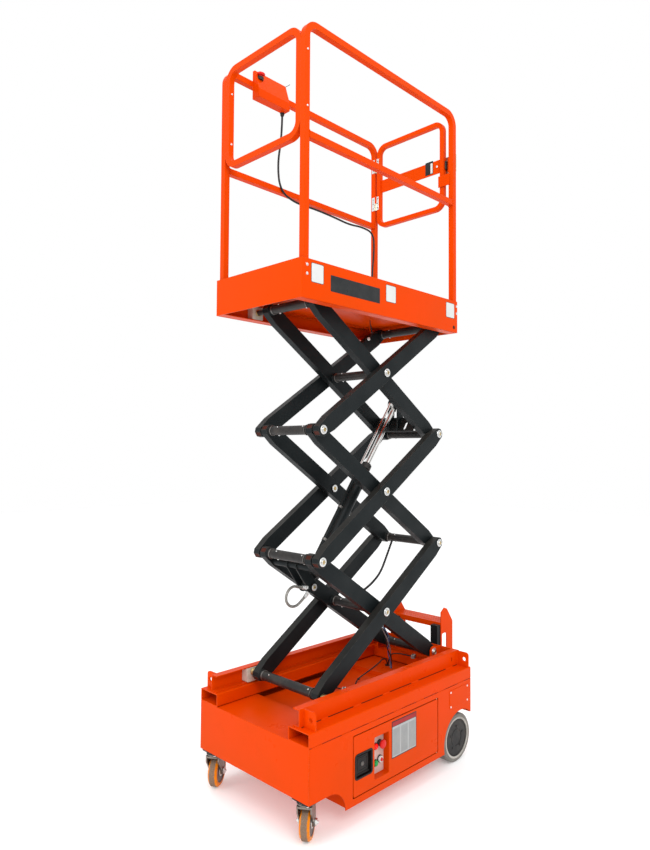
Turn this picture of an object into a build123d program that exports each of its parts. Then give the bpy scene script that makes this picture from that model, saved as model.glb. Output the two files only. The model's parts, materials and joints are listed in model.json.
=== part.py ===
"""Compact three-stage scissor lift: wheeled chassis, six crossed arm frames, platform with rails.

Millimetres. +X points to the caster end, +Y to the machine's left, +Z up.
The origin is on the floor under the middle of the whole machine. Places along X are
measured from the middle of the chassis body, which stands half the steps' depth ahead of
the origin.
"""

import os
from math import cos, dist, radians, sin, sqrt, tan

from build123d import *

os.makedirs("parts", exist_ok=True)

# ---------------------------------------------------------------- driving dimensions
SIDES = {"left": 1, "right": -1}

# chassis body, folded from sheet
HULL_LENGTH = 1220.0
HULL_WIDTH = 760.0
HULL_TOP = 420.0
NOSE_BOTTOM = 190.0
SKIRT_BOTTOM = 90.0
SHEET = 4.0
SKIRT_INSET = 224.0
FRONT_ARCH_R = 100.0
DECK_INSET = 250.0
DECK_REAR_INSET = 290.0
DECK_LIP = 2.0
WELL_DEPTH = 28.0
TAIL_WALL_Y = 255.0
TAIL_FLOOR = 110.0
BELLY_FLOOR = 100.0

# rear wheels and swivel casters
WHEEL_INSET = 98.0
WHEEL_R = 125.0
WHEEL_W = 80.0
WHEEL_RECESS = 23.0
WHEEL_ARCH_R = 152.0
TYRE_WALL = 27.0
TYRE_SHOULDER = 7.0
AXLE_R = 20.0
RUNNING_FIT = 0.05
CASTER_INSET_X = 40.0
CASTER_INSET_Y = 60.0
CASTER_TURN = 33.0
CASTER_R = 75.0
CASTER_W = 44.0
CASTER_TRAIL = 38.0
CASTER_SHOULDER = 8.0
CASTER_KINGPIN_R = 10.0
CASTER_AXLE_R = 8.0

# entry steps behind the body
STEP_DEPTH = 140.0
STEP_GAP = 25.0
STEP_Y = 170.0
STEP_BOTTOM = 300.0
STEP_PLATE = 5.0
UPPER_TREAD = 672.0
LOWER_TREAD = 400.0
TREAD_LIP = 29.0
GRIP_PEAK = (32.0, 81.0)
GRIP_SHOULDER = (59.0, 71.0)
GRIP_W, GRIP_H, GRIP_CORNER = 45.0, 161.0, 12.0
GRIP_BELOW = 142.0

# fork pockets and slide channels on top of the body
POCKET_W = 130.0
POCKET_H = 60.0
POCKET_WALL = 5.0
CHANNEL_H = 78.0
CHANNEL_W = 40.0
CHANNEL_WALL = 5.0
CHANNEL_INSET_Y = 70.0
CHANNEL_INSET_FRONT = 10.0
CHANNEL_INSET_REAR = 14.0
LUG_T = 8.0
LUG_W = 68.0
LUG_HOLE_R = 11.0
LUG_HOLE_OUT = 42.16
LUG_CORNER = 16.0
LUG_INSET = 29.0
LUG_BELOW = 2.0
CHANNEL_SLOT = (24.0, 8.0)
CHANNEL_SLOT_AT = 62.0

# scissor pack
ARM_LENGTH = 1100.0
ARM_H = 80.0
ARM_W = 40.0
ARM_WALL = 4.0
ARM_END_HALF = 28.0
ARM_TAPER = 60.0
SLEEVE_R = 21.0
LIFT_ANGLE = 33.3
PIVOT_INSET = 73.0
PIVOT_Z = 535.0
INNER_Y = 159.0
OUTER_Y = 207.0
PIN_R = 12.5
TUBE_R = 22.5
SLIDER_HALF = 34.0
SLIDER_H = 66.0
SLIDER_FIT = 1.0

# lift cylinder, from stage 1 inner arms to stage 3 inner arms
LOW_EYE = (195.0, 62.0)
HIGH_EYE = (176.0, 96.0)
BARREL_R = 33.0
BARREL_LENGTH = 706.0
BARREL_WALL = 6.0
ROD_R = 15.0
ROD_LENGTH = 730.0
PIPE_R = 6.5
PIPE_AWAY = 40.0
PIPE_TRAVEL = 370.0
EYE_R = 26.0
EYE_W = 44.0
EAR_T = 8.0
EAR_GAP = 6.0
EAR_R = 30.0

# platform
TRAY_LENGTH = 1202.0
TRAY_WIDTH = 610.0
TRAY_H = 176.0
TRAY_BELOW_PIVOT = 39.0
FLOOR_ABOVE_PIVOT = 39.0
TOP_LUG_T = 10.0
PANEL_T = 2.0
PANEL_INSET = 16.0

# guard rails
RAIL = 30.0
RAIL_WALL = 2.5
RAIL_BEND = 62.0
RAIL_HEIGHT = 1058.0
MID_RAIL_HEIGHT = 556.0
POST_INSET_FRONT = 30.0
POST_INSET_REAR = 19.0
LOOP_DROP = 15.0
LOOP_LIFT = 8.0
LOOP_BEND = 60.0
GATE_TUBE = 26.0
GATE_GAP = 14.0
GATE_CLEARANCE = 35.0
GATE_BEND = 50.0
GATE_TOP_DROP = 2.0
GATE_BELOW_MID = 18.0

# access doors
DOOR_X0, DOOR_X1 = -300.0, 336.0
DOOR_Z0, DOOR_Z1 = 125.0, 388.0
DOOR_T = 5.0
DOOR_GAP = 5.0
DOOR_HINGE_GAP = 6.5
DOOR_CORNER = 7.0
HINGE_INSET = 5.0
HINGE_PIN_R = 1.5

# ---------------------------------------------------------------- derived places
half_len = HULL_LENGTH / 2
half_wid = HULL_WIDTH / 2
chassis_mid_x = STEP_DEPTH / 2
skirt_front = half_len - SKIRT_INSET
wheel_x = WHEEL_INSET - half_len
wheel_face_y = half_wid - WHEEL_RECESS
channel_y = half_wid - CHANNEL_INSET_Y
channel_front = half_len - CHANNEL_INSET_FRONT
channel_rear = CHANNEL_INSET_REAR - half_len
pivot_x = PIVOT_INSET - half_len
rise = ARM_LENGTH * sin(radians(LIFT_ANGLE))
reach = ARM_LENGTH * cos(radians(LIFT_ANGLE))
front_x = pivot_x + reach
top_z = PIVOT_Z + 3 * rise
pocket_top = HULL_TOP + POCKET_H
channel_top = pocket_top + CHANNEL_H
tray_bottom = top_z - TRAY_BELOW_PIVOT
tray_top = tray_bottom + TRAY_H
floor_under = top_z + FLOOR_ABOVE_PIVOT
floor_top = floor_under + SHEET
tray_x = TRAY_LENGTH / 2
tray_y = TRAY_WIDTH / 2
post_front_x = tray_x - POST_INSET_FRONT
post_rear_x = POST_INSET_REAR - tray_x
post_y = tray_y - SHEET - RAIL / 2
post_face = post_y - RAIL / 2
rail_z = tray_top + RAIL_HEIGHT
mid_z = tray_top + MID_RAIL_HEIGHT
wheel_mid_y = wheel_face_y - WHEEL_W / 2


def keep(piece, name, place=Location()):
    """Label a finished piece, move it to its place in the machine's frame and write it."""
    placed = piece.part.moved(Location((chassis_mid_x, 0, 0)) * place)
    placed.label = name
    export_step(placed, f"parts/{name}.step")


def upright(y):
    """Plane of a plate that stands lengthwise at y: local x is +X, local y is +Z."""
    return Plane.XZ.offset(-y)


def arm_plane(stage, rising, y):
    """Plane of one arm: origin on its rear pivot, local x along the arm to its front pivot."""
    lift = radians(LIFT_ANGLE if rising else -LIFT_ANGLE)
    rear_z = PIVOT_Z + rise * (stage - 1 if rising else stage)
    return Plane(origin=(pivot_x, y, rear_z), x_dir=(cos(lift), 0, sin(lift)), z_dir=(0, -1, 0))


def block(x0, x1, y0, y1, z0, z1, mode=Mode.ADD):
    """Box between two corners, added to the part being built."""
    with BuildSketch(Plane.XY.offset(z0)) as outline:
        with Locations(((x0 + x1) / 2, (y0 + y1) / 2)):
            Rectangle(abs(x1 - x0), abs(y1 - y0))
    extrude(outline.sketch, amount=z1 - z0, mode=mode)


def rod_y(x, z, radius, y0, y1, mode=Mode.ADD):
    """Round bar along Y from y0 to y1."""
    with BuildSketch(upright(min(y0, y1))) as outline:
        with Locations((x, z)):
            Circle(radius)
    extrude(outline.sketch, amount=-abs(y1 - y0), mode=mode)


# ---------------------------------------------------------------- chassis body
arch_rise = sqrt(WHEEL_ARCH_R**2 - (WHEEL_R - SKIRT_BOTTOM) ** 2)
arch_tail = WHEEL_R + sqrt(WHEEL_ARCH_R**2 - WHEEL_INSET**2)
arch_mid = FRONT_ARCH_R * (1 - sqrt(0.5))
door_mid_x = (DOOR_X0 + DOOR_X1) / 2
door_mid_z = (DOOR_Z0 + DOOR_Z1) / 2
door_w = DOOR_X1 - DOOR_X0
door_h = DOOR_Z1 - DOOR_Z0
inner_wid = half_wid - SHEET
deck_under = HULL_TOP - 2 * SHEET
tail_bulkhead = wheel_x + arch_rise + 2 * SHEET

for label, side in SIDES.items():
    with BuildPart() as hull_side:
        with BuildSketch(upright(side * (half_wid - SHEET / 2))):
            with BuildLine():
                Line((wheel_x + arch_rise, SKIRT_BOTTOM), (skirt_front, SKIRT_BOTTOM))
                ThreePointArc(
                    (skirt_front, SKIRT_BOTTOM),
                    (skirt_front + arch_mid, NOSE_BOTTOM - arch_mid),
                    (skirt_front + FRONT_ARCH_R, NOSE_BOTTOM),
                )
                Polyline(
                    (skirt_front + FRONT_ARCH_R, NOSE_BOTTOM),
                    (half_len, NOSE_BOTTOM),
                    (half_len, HULL_TOP),
                    (-half_len, HULL_TOP),
                    (-half_len, arch_tail),
                )
                ThreePointArc(
                    (-half_len, arch_tail),
                    (wheel_x, WHEEL_R + WHEEL_ARCH_R),
                    (wheel_x + arch_rise, SKIRT_BOTTOM),
                )
            make_face()
            with Locations((door_mid_x - (DOOR_HINGE_GAP - DOOR_GAP) / 2, door_mid_z)):
                RectangleRounded(
                    door_w + DOOR_GAP + DOOR_HINGE_GAP,
                    door_h + 2 * DOOR_GAP,
                    DOOR_CORNER,
                    mode=Mode.SUBTRACT,
                )
        extrude(amount=SHEET / 2, both=True)
    keep(hull_side, f"hull_side_{label}")

# each row: node, then its walls as x0, x1, half width, z0, z1
HULL_PARTS = [
    ("hull_nose", [
        (half_len - SHEET, half_len, inner_wid, NOSE_BOTTOM, HULL_TOP),
        (skirt_front, half_len - SHEET, inner_wid, NOSE_BOTTOM, NOSE_BOTTOM + SHEET),
    ]),
    ("hull_front_bulkhead", [
        (skirt_front - SHEET, skirt_front, inner_wid, BELLY_FLOOR, deck_under),
    ]),
    ("hull_floor", [
        (tail_bulkhead, skirt_front - SHEET, inner_wid, BELLY_FLOOR, BELLY_FLOOR + SHEET),
        (tail_bulkhead - SHEET, tail_bulkhead, inner_wid, BELLY_FLOOR, deck_under),
    ]),
    ("hull_tail", [
        (-half_len, -half_len + SHEET, inner_wid, arch_tail, HULL_TOP),
        (-half_len, -half_len + SHEET, TAIL_WALL_Y, TAIL_FLOOR, arch_tail),
        (-half_len, tail_bulkhead - SHEET, TAIL_WALL_Y, TAIL_FLOOR - SHEET, TAIL_FLOOR),
    ]),
]
for name, walls in HULL_PARTS:
    with BuildPart() as hull_part:
        for x0, x1, wide, z0, z1 in walls:
            block(x0, x1, -wide, wide, z0, z1)
        if name == "hull_tail":
            for side in SIDES.values():
                wall = side * (TAIL_WALL_Y - SHEET / 2)
                block(
                    -half_len + SHEET,
                    tail_bulkhead - SHEET,
                    wall - SHEET / 2,
                    wall + SHEET / 2,
                    TAIL_FLOOR,
                    deck_under,
                )
    keep(hull_part, name)

# ---------------------------------------------------------------- deck over the body
deck_y = half_wid - POCKET_W
deck_front = half_len - DECK_INSET
deck_rear = DECK_REAR_INSET - half_len
well_z = HULL_TOP - WELL_DEPTH
CROSS_INSET = 2.0
CROSS_W = 60.0
cross_front = CROSS_INSET - half_len + CROSS_W
with BuildPart() as deck:
    block(deck_front, half_len - SHEET, -deck_y, deck_y, deck_under, HULL_TOP)
    block(deck_rear, deck_front, -deck_y, deck_y, well_z, well_z + SHEET)
    block(cross_front, deck_rear, -deck_y, deck_y, deck_under, deck_under + SHEET)
    block(deck_front, deck_front + SHEET, -deck_y, deck_y, well_z, deck_under)
    block(deck_rear - 2 * SHEET, deck_rear, -deck_y, deck_y, well_z, HULL_TOP + DECK_LIP)
keep(deck, "deck")

# ---------------------------------------------------------------- fork pockets
with BuildPart() as fork_pockets:
    for side in SIDES.values():
        with BuildSketch(Plane.YZ.offset(-half_len)):
            with Locations((side * (half_wid - POCKET_W / 2), HULL_TOP + POCKET_H / 2)):
                RectangleRounded(POCKET_W, POCKET_H, POCKET_WALL)
                Rectangle(
                    POCKET_W - 2 * POCKET_WALL,
                    POCKET_H - 2 * POCKET_WALL,
                    mode=Mode.SUBTRACT,
                )
        extrude(amount=HULL_LENGTH)
keep(fork_pockets, "fork_pockets")

# ---------------------------------------------------------------- slide channels with lifting lugs
lug_top = channel_top - LUG_BELOW
for label, side in SIDES.items():
    inner_edge = channel_y - CHANNEL_W
    with BuildPart() as slide_channel:
        with BuildSketch(Plane.YZ.offset(channel_rear)):
            with BuildLine():
                Polyline(
                    (side * inner_edge, pocket_top),
                    (side * channel_y, pocket_top),
                    (side * channel_y, channel_top),
                    (side * inner_edge, channel_top),
                    (side * inner_edge, channel_top - CHANNEL_WALL),
                    (side * (channel_y - CHANNEL_WALL), channel_top - CHANNEL_WALL),
                    (side * (channel_y - CHANNEL_WALL), pocket_top + CHANNEL_WALL),
                    (side * inner_edge, pocket_top + CHANNEL_WALL),
                    close=True,
                )
            make_face()
        extrude(amount=channel_front - channel_rear)
        for lug_x in (channel_front - LUG_INSET, channel_rear + LUG_T / 2):
            lug_out = side * (channel_y + LUG_W)
            with BuildSketch(Plane.YZ.offset(lug_x)):
                with BuildLine():
                    Polyline(
                        (lug_out, pocket_top),
                        (side * channel_y, pocket_top),
                        (side * channel_y, lug_top),
                    )
                    FilletPolyline(
                        (side * channel_y, lug_top),
                        (lug_out, lug_top),
                        (lug_out, pocket_top),
                        radius=LUG_CORNER,
                    )
                make_face()
                with Locations((side * (channel_y + LUG_HOLE_OUT), pocket_top + CHANNEL_H / 2)):
                    Circle(LUG_HOLE_R, mode=Mode.SUBTRACT)
            extrude(amount=LUG_T / 2, both=True)
        with BuildSketch(upright(side * channel_y)):
            with Locations((channel_rear + CHANNEL_SLOT_AT, pocket_top + CHANNEL_H / 2)):
                SlotOverall(*CHANNEL_SLOT, rotation=90)
        extrude(amount=side * 2 * CHANNEL_WALL, both=True, mode=Mode.SUBTRACT)
    keep(slide_channel, f"slide_channel_{label}")

# ---------------------------------------------------------------- rear cross member and arm lugs
PLATE_T = 8.0
ARM_LUG_R = 30.0
ARM_LUG_GAP = 5.0
pin_bore = PIN_R + RUNNING_FIT
rear_lug_y = INNER_Y + ARM_W / 2 + ARM_LUG_GAP
plate_back = channel_rear - PLATE_T
with BuildPart() as rear_cross_member:
    block(plate_back, channel_rear, -channel_y, channel_y, pocket_top, lug_top)
    block(cross_front - CROSS_W, cross_front, -deck_y, deck_y, HULL_TOP, pocket_top)
    block(
        cross_front - CROSS_W + POCKET_WALL,
        cross_front - POCKET_WALL,
        -deck_y,
        deck_y,
        HULL_TOP + POCKET_WALL,
        pocket_top - POCKET_WALL,
        mode=Mode.SUBTRACT,
    )
    for side in SIDES.values():
        with BuildSketch(upright(side * (rear_lug_y + EAR_T / 2))):
            with BuildLine():
                Polyline(
                    (channel_rear, pocket_top),
                    (pivot_x + ARM_LUG_R, pocket_top),
                    (pivot_x + ARM_LUG_R, PIVOT_Z),
                )
                RadiusArc(
                    (pivot_x + ARM_LUG_R, PIVOT_Z),
                    (pivot_x, PIVOT_Z + ARM_LUG_R),
                    -ARM_LUG_R,
                )
                Polyline(
                    (pivot_x, PIVOT_Z + ARM_LUG_R),
                    (channel_rear, lug_top),
                    (channel_rear, pocket_top),
                )
            make_face()
            with Locations((pivot_x, PIVOT_Z)):
                Circle(pin_bore, mode=Mode.SUBTRACT)
        extrude(amount=EAR_T / 2, both=True)
keep(rear_cross_member, "rear_cross_member")

# ---------------------------------------------------------------- entry steps behind the body
step_x0 = -half_len - STEP_DEPTH
step_x1 = -half_len - STEP_GAP
with BuildPart() as entry_steps:
    for side in SIDES.values():
        with BuildSketch(upright(side * STEP_Y)):
            with BuildLine():
                Polyline(
                    (-half_len, STEP_BOTTOM),
                    (-half_len, HULL_TOP),
                    (step_x1, HULL_TOP),
                    (step_x1, UPPER_TREAD + TREAD_LIP * 2),
                    (step_x1 - GRIP_PEAK[0], UPPER_TREAD + GRIP_PEAK[1]),
                    (step_x1 - GRIP_SHOULDER[0], UPPER_TREAD + GRIP_SHOULDER[1]),
                    (step_x0, UPPER_TREAD - STEP_PLATE),
                    (step_x0, STEP_BOTTOM),
                    close=True,
                )
            make_face()
            with Locations((step_x1 - GRIP_PEAK[0], UPPER_TREAD - GRIP_BELOW)):
                RectangleRounded(GRIP_W, GRIP_H, GRIP_CORNER, mode=Mode.SUBTRACT)
        extrude(amount=STEP_PLATE / 2, both=True)
    for tread_z in (UPPER_TREAD, LOWER_TREAD):
        block(step_x0, step_x1, -STEP_Y, STEP_Y, tread_z - STEP_PLATE, tread_z)
        for lip_x in (step_x0, step_x1 - STEP_PLATE):
            block(lip_x, lip_x + STEP_PLATE, -STEP_Y, STEP_Y, tread_z - TREAD_LIP, tread_z)
keep(entry_steps, "entry_steps")

POST_W = 46.0
POST_DROP = 12.0
with BuildPart() as step_posts:
    for side in SIDES.values():
        post_out = side * (STEP_Y - STEP_PLATE / 2)
        post_in = post_out - side * POST_W
        block(step_x1, plate_back, post_in, post_out, pocket_top, UPPER_TREAD - POST_DROP)
keep(step_posts, "step_posts")

# ---------------------------------------------------------------- covers and units in the body
COVER_INSET = 26.0
COVER_W, COVER_H, COVER_T = 175.0, 94.0, 2.0
COVER_BELOW_TOP = 68.0
COVER_CORNER = 6.0
with BuildPart() as service_covers:
    for side in SIDES.values():
        with BuildSketch(upright(side * (half_wid + COVER_T / 2))):
            with Locations((COVER_INSET + COVER_W / 2 - half_len, HULL_TOP - COVER_BELOW_TOP)):
                RectangleRounded(COVER_W, COVER_H, COVER_CORNER)
        extrude(amount=COVER_T / 2, both=True)
keep(service_covers, "service_covers")

belly_top = BELLY_FLOOR + SHEET
BATTERY = (360.0, 340.0, 250.0)
BATTERY_X = -130.0
BATTERY_CORNER = 8.0
with BuildPart() as battery_pack:
    with BuildSketch(Plane.XY.offset(belly_top)):
        with Locations((BATTERY_X, 0)):
            RectangleRounded(BATTERY[0], BATTERY[1], BATTERY_CORNER)
    extrude(amount=BATTERY[2])
keep(battery_pack, "battery_pack")

POWER_UNIT = (210.0, 300.0, 200.0)
POWER_UNIT_X = 215.0
POWER_UNIT_CORNER = 12.0
with BuildPart() as hydraulic_unit:
    with BuildSketch(Plane.XY.offset(belly_top)):
        with Locations((POWER_UNIT_X, 0)):
            RectangleRounded(POWER_UNIT[0], POWER_UNIT[1], POWER_UNIT_CORNER)
    extrude(amount=POWER_UNIT[2])
keep(hydraulic_unit, "hydraulic_unit")

# ---------------------------------------------------------------- rear wheels
hub_r = WHEEL_R - TYRE_WALL
wheel_back_y = wheel_face_y - WHEEL_W
AXLE_FLANGE_T = 7.0
AXLE_SUNK = 19.0
axle_end_y = wheel_face_y - AXLE_SUNK
AXLE_CAP_R = 30.0
AXLE_CAP_T = 6.0
AXLE_CAP_GAP = 4.0
HUB_BOSS = 8.0
HUB_SUNK = 3.0
with BuildPart() as rear_axle:
    for side in SIDES.values():
        flange = side * (TAIL_WALL_Y + AXLE_FLANGE_T)
        rod_y(wheel_x, WHEEL_R, 2 * AXLE_R, side * TAIL_WALL_Y, flange)
        rod_y(wheel_x, WHEEL_R, AXLE_R, flange, side * axle_end_y)
        cap = side * (axle_end_y + AXLE_CAP_T)
        rod_y(wheel_x, WHEEL_R, AXLE_CAP_R, side * axle_end_y, cap)
keep(rear_axle, "rear_axle")


def tyre(x, y, z, radius, bore, width, shoulder):
    """Round tyre with bevelled shoulders about the Y line through (x, z), centred on y."""
    half = width / 2
    with BuildSketch(Plane(origin=(x, y, z), x_dir=(0, 1, 0), z_dir=(-1, 0, 0))) as section:
        with BuildLine():
            Polyline(
                (-half, bore),
                (-half, radius - shoulder),
                (shoulder - half, radius),
                (half - shoulder, radius),
                (half, radius - shoulder),
                (half, bore),
                close=True,
            )
        make_face()
    revolve(section.sketch, axis=Axis((x, y, z), (0, 1, 0)))


for label, side in SIDES.items():
    with BuildPart() as rear_tyre:
        tyre(wheel_x, side * wheel_mid_y, WHEEL_R, WHEEL_R, hub_r, WHEEL_W, TYRE_SHOULDER)
    keep(rear_tyre, f"rear_tyre_{label}")

    with BuildPart() as rear_hub:
        rod_y(wheel_x, WHEEL_R, hub_r, side * (wheel_back_y + HUB_BOSS), side * (wheel_face_y - HUB_SUNK))
        rod_y(wheel_x, WHEEL_R, AXLE_R * 2, side * wheel_back_y, side * (wheel_back_y + HUB_BOSS))
        rod_y(
            wheel_x,
            WHEEL_R,
            AXLE_R + RUNNING_FIT,
            side * wheel_back_y,
            side * axle_end_y,
            mode=Mode.SUBTRACT,
        )
        rod_y(
            wheel_x,
            WHEEL_R,
            AXLE_CAP_R + AXLE_CAP_GAP,
            side * (axle_end_y - AXLE_CAP_GAP / 2),
            side * (axle_end_y + AXLE_CAP_T + AXLE_CAP_GAP),
            mode=Mode.SUBTRACT,
        )
    keep(rear_hub, f"rear_hub_{label}")

# ---------------------------------------------------------------- swivel casters
CASTER_PLATE_T = 7.0
CASTER_PLATE = (76.0, 104.0)
FORK_GAP = 5.0
FORK_T = 6.0
CROWN_Z = 160.0
CROWN_T = 8.0
CROWN_LENGTH = 92.0
LEG_FRONT, LEG_REAR = 28.0, 50.0
LEG_FOOT = 18.0
HEAD_R = 34.0
KINGPIN_NUT_R = 13.0
KINGPIN_NUT_T = 6.0
AXLE_NUT_R, AXLE_NUT_T = 12.0, 8.0
CASTER_TREAD_T = 19.0
CASTER_BOSS_R = 20.0
CASTER_BOSS = 3.0
CASTER_PLATE_CORNER = 10.0
CROWN_CORNER = 14.0
HEAD_GAP = 1.0
caster_x = half_len - CASTER_INSET_X
caster_y = half_wid - CASTER_INSET_Y
caster_plate_z = NOSE_BOTTOM - CASTER_PLATE_T
nut_top = CROWN_Z - HEAD_GAP
leg_y = CASTER_W / 2 + FORK_GAP
fork_out = leg_y + FORK_T
with BuildPart() as caster_plates:
    for side in SIDES.values():
        with BuildSketch(Plane.XY.offset(caster_plate_z)):
            with Locations((caster_x, side * caster_y)):
                RectangleRounded(*CASTER_PLATE, CASTER_PLATE_CORNER)
        extrude(amount=CASTER_PLATE_T)
        for pin_r, low, high in (
            (CASTER_KINGPIN_R, nut_top, caster_plate_z),
            (KINGPIN_NUT_R, nut_top - KINGPIN_NUT_T, nut_top),
        ):
            with BuildSketch(Plane.XY.offset(low)):
                with Locations((caster_x, side * caster_y)):
                    Circle(pin_r)
            extrude(amount=high - low)
keep(caster_plates, "caster_plates")

# one caster about its own swivel axis, with the wheel behind it
with BuildPart() as caster_fork:
    with BuildSketch(Plane.XY.offset(CROWN_Z)):
        with Locations(((LEG_FRONT - LEG_REAR) / 2, 0)):
            RectangleRounded(CROWN_LENGTH, 2 * fork_out, CROWN_CORNER)
        Circle(CASTER_KINGPIN_R + RUNNING_FIT, mode=Mode.SUBTRACT)
    extrude(amount=CROWN_T)
    with BuildSketch(Plane.XY.offset(CROWN_Z + CROWN_T)):
        Circle(HEAD_R)
        Circle(CASTER_KINGPIN_R + RUNNING_FIT, mode=Mode.SUBTRACT)
    extrude(amount=caster_plate_z - HEAD_GAP - CROWN_Z - CROWN_T)
    for leg in (-1, 1):
        with BuildSketch(upright(leg * (leg_y + FORK_T / 2))):
            with BuildLine():
                Polyline(
                    (LEG_FRONT, CROWN_Z + CROWN_T),
                    (LEG_FRONT, CROWN_Z - CASTER_W / 2),
                    (LEG_FOOT - CASTER_TRAIL, CASTER_R),
                )
                RadiusArc(
                    (LEG_FOOT - CASTER_TRAIL, CASTER_R),
                    (-LEG_FOOT - CASTER_TRAIL, CASTER_R),
                    LEG_FOOT,
                )
                Polyline(
                    (-LEG_FOOT - CASTER_TRAIL, CASTER_R),
                    (-LEG_REAR, CROWN_Z - CASTER_W / 2),
                    (-LEG_REAR, CROWN_Z + CROWN_T),
                    (LEG_FRONT, CROWN_Z + CROWN_T),
                )
            make_face()
        extrude(amount=FORK_T / 2, both=True)
        nut_out = leg * (fork_out + AXLE_NUT_T)
        rod_y(-CASTER_TRAIL, CASTER_R, AXLE_NUT_R, leg * fork_out, nut_out)
    rod_y(-CASTER_TRAIL, CASTER_R, CASTER_AXLE_R, -leg_y, leg_y)

core_r = CASTER_R - CASTER_TREAD_T
with BuildPart() as caster_tyre:
    tyre(-CASTER_TRAIL, 0, CASTER_R, CASTER_R, core_r, CASTER_W, CASTER_SHOULDER)

with BuildPart() as caster_core:
    half_core = CASTER_W / 2 - CASTER_BOSS
    rod_y(-CASTER_TRAIL, CASTER_R, core_r, -half_core, half_core)
    half_boss = CASTER_W / 2 + CASTER_BOSS
    rod_y(-CASTER_TRAIL, CASTER_R, CASTER_BOSS_R, -half_boss, half_boss)
    axle_bore = CASTER_AXLE_R + RUNNING_FIT
    rod_y(-CASTER_TRAIL, CASTER_R, axle_bore, -CASTER_W, CASTER_W, mode=Mode.SUBTRACT)

for label, side in SIDES.items():
    swivel = Location((caster_x, side * caster_y, 0), (0, 0, CASTER_TURN))
    keep(caster_fork, f"caster_fork_{label}", swivel)
    keep(caster_tyre, f"caster_tyre_{label}", swivel)
    keep(caster_core, f"caster_core_{label}", swivel)

# ---------------------------------------------------------------- scissor arms
ARM_TIP = 28.0
ARM_TIP_HALF = 14.0


def half_outline(along, inset):
    """Points of an arm's outline over one end, from its lower edge to its upper edge."""
    tall = ARM_H / 2 - inset
    end = ARM_END_HALF - inset
    tip = ARM_TIP - inset
    rows = [
        (ARM_TAPER, -tall),
        (-ARM_TIP_HALF, -end),
        (-tip, -ARM_TIP_HALF),
        (-tip, ARM_TIP_HALF),
        (-ARM_TIP_HALF, end),
        (ARM_TAPER, tall),
    ]
    if along:
        rows = [(ARM_LENGTH - s, t) for s, t in reversed(rows)]
    return rows


def arm(stage, rising, y, bores):
    """Box-section arm with welded sleeves; bores are (place along the arm, hole radius)."""
    plane = arm_plane(stage, rising, y)
    with BuildSketch(plane) as skin:
        with BuildLine():
            Polyline(*half_outline(False, 0), *half_outline(True, 0), close=True)
        make_face()
    extrude(skin.sketch, amount=ARM_W / 2, both=True)
    with BuildSketch(plane) as hollow:
        with BuildLine():
            Polyline(*half_outline(False, ARM_WALL), *half_outline(True, ARM_WALL), close=True)
        make_face()
        with Locations(*[(s, 0) for s, _ in bores]):
            Circle(SLEEVE_R, mode=Mode.SUBTRACT)
    extrude(hollow.sketch, amount=ARM_W / 2 - ARM_WALL, both=True, mode=Mode.SUBTRACT)
    for s, radius in bores:
        with BuildSketch(plane) as bore:
            with Locations((s, 0)):
                Circle(radius)
        extrude(bore.sketch, amount=ARM_W, both=True, mode=Mode.SUBTRACT)


ARM_BORES = [(0, pin_bore), (ARM_LENGTH / 2, pin_bore), (ARM_LENGTH, pin_bore)]
for stage in (1, 2, 3):
    with BuildPart() as inner_arms:
        for side in SIDES.values():
            arm(stage, True, side * INNER_Y, ARM_BORES)
    keep(inner_arms, f"inner_arms_{stage}")

    with BuildPart() as outer_arms:
        for side in SIDES.values():
            arm(stage, False, side * OUTER_Y, ARM_BORES)
    keep(outer_arms, f"outer_arms_{stage}")

# ---------------------------------------------------------------- cross shafts and pins
inner_face = INNER_Y - ARM_W / 2
inner_out = INNER_Y + ARM_W / 2
outer_in = OUTER_Y - ARM_W / 2
outer_out = OUTER_Y + ARM_W / 2
COLLAR_R = 20.0
SIDE_PLAY = 0.5
PIN_STANDS = 4.5
WASHER_R = 21.0
WASHER_T = 4.0
TOP_LUG_Y = 237.0
BOTTOM_SLIDE_SHORT = 8.0
TOP_SLIDE_SHORT = 17.0
rear_lug_out = rear_lug_y + EAR_T

# each row: end of the step along |y|, radius
THROUGH_OUTER = [
    (inner_face, TUBE_R),
    (inner_out, PIN_R),
    (outer_in - SIDE_PLAY, COLLAR_R),
    (outer_out + PIN_STANDS, PIN_R),
]
STUB = [(inner_face - WASHER_T, 0), (inner_face, WASHER_R)] + THROUGH_OUTER[1:]
REAR_FOOT = [
    (inner_face, TUBE_R),
    (inner_out, PIN_R),
    (rear_lug_y - SIDE_PLAY, COLLAR_R),
    (rear_lug_out + PIN_STANDS, PIN_R),
]
BOTTOM_SLIDE = [(outer_in, TUBE_R), (outer_out, PIN_R), (channel_y - BOTTOM_SLIDE_SHORT, PIN_R)]
TOP_SLIDE = [(inner_face, TUBE_R), (inner_out, PIN_R), (tray_y - TOP_SLIDE_SHORT, PIN_R)]
TOP_PIVOT = [
    (outer_in, TUBE_R),
    (outer_out, PIN_R),
    (TOP_LUG_Y - TOP_LUG_T / 2 - SIDE_PLAY, COLLAR_R),
    (TOP_LUG_Y + TOP_LUG_T / 2 + PIN_STANDS, PIN_R),
]


def shaft(x, z, steps):
    """Stepped round shaft across the machine, the same on both sides."""
    for side in SIDES.values():
        start = 0.0
        for end, radius in steps:
            if radius:
                rod_y(x, z, radius, side * start, side * end)
            start = end


def joint_z(level):
    return PIVOT_Z + rise * level


centre_x = pivot_x + reach / 2
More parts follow.
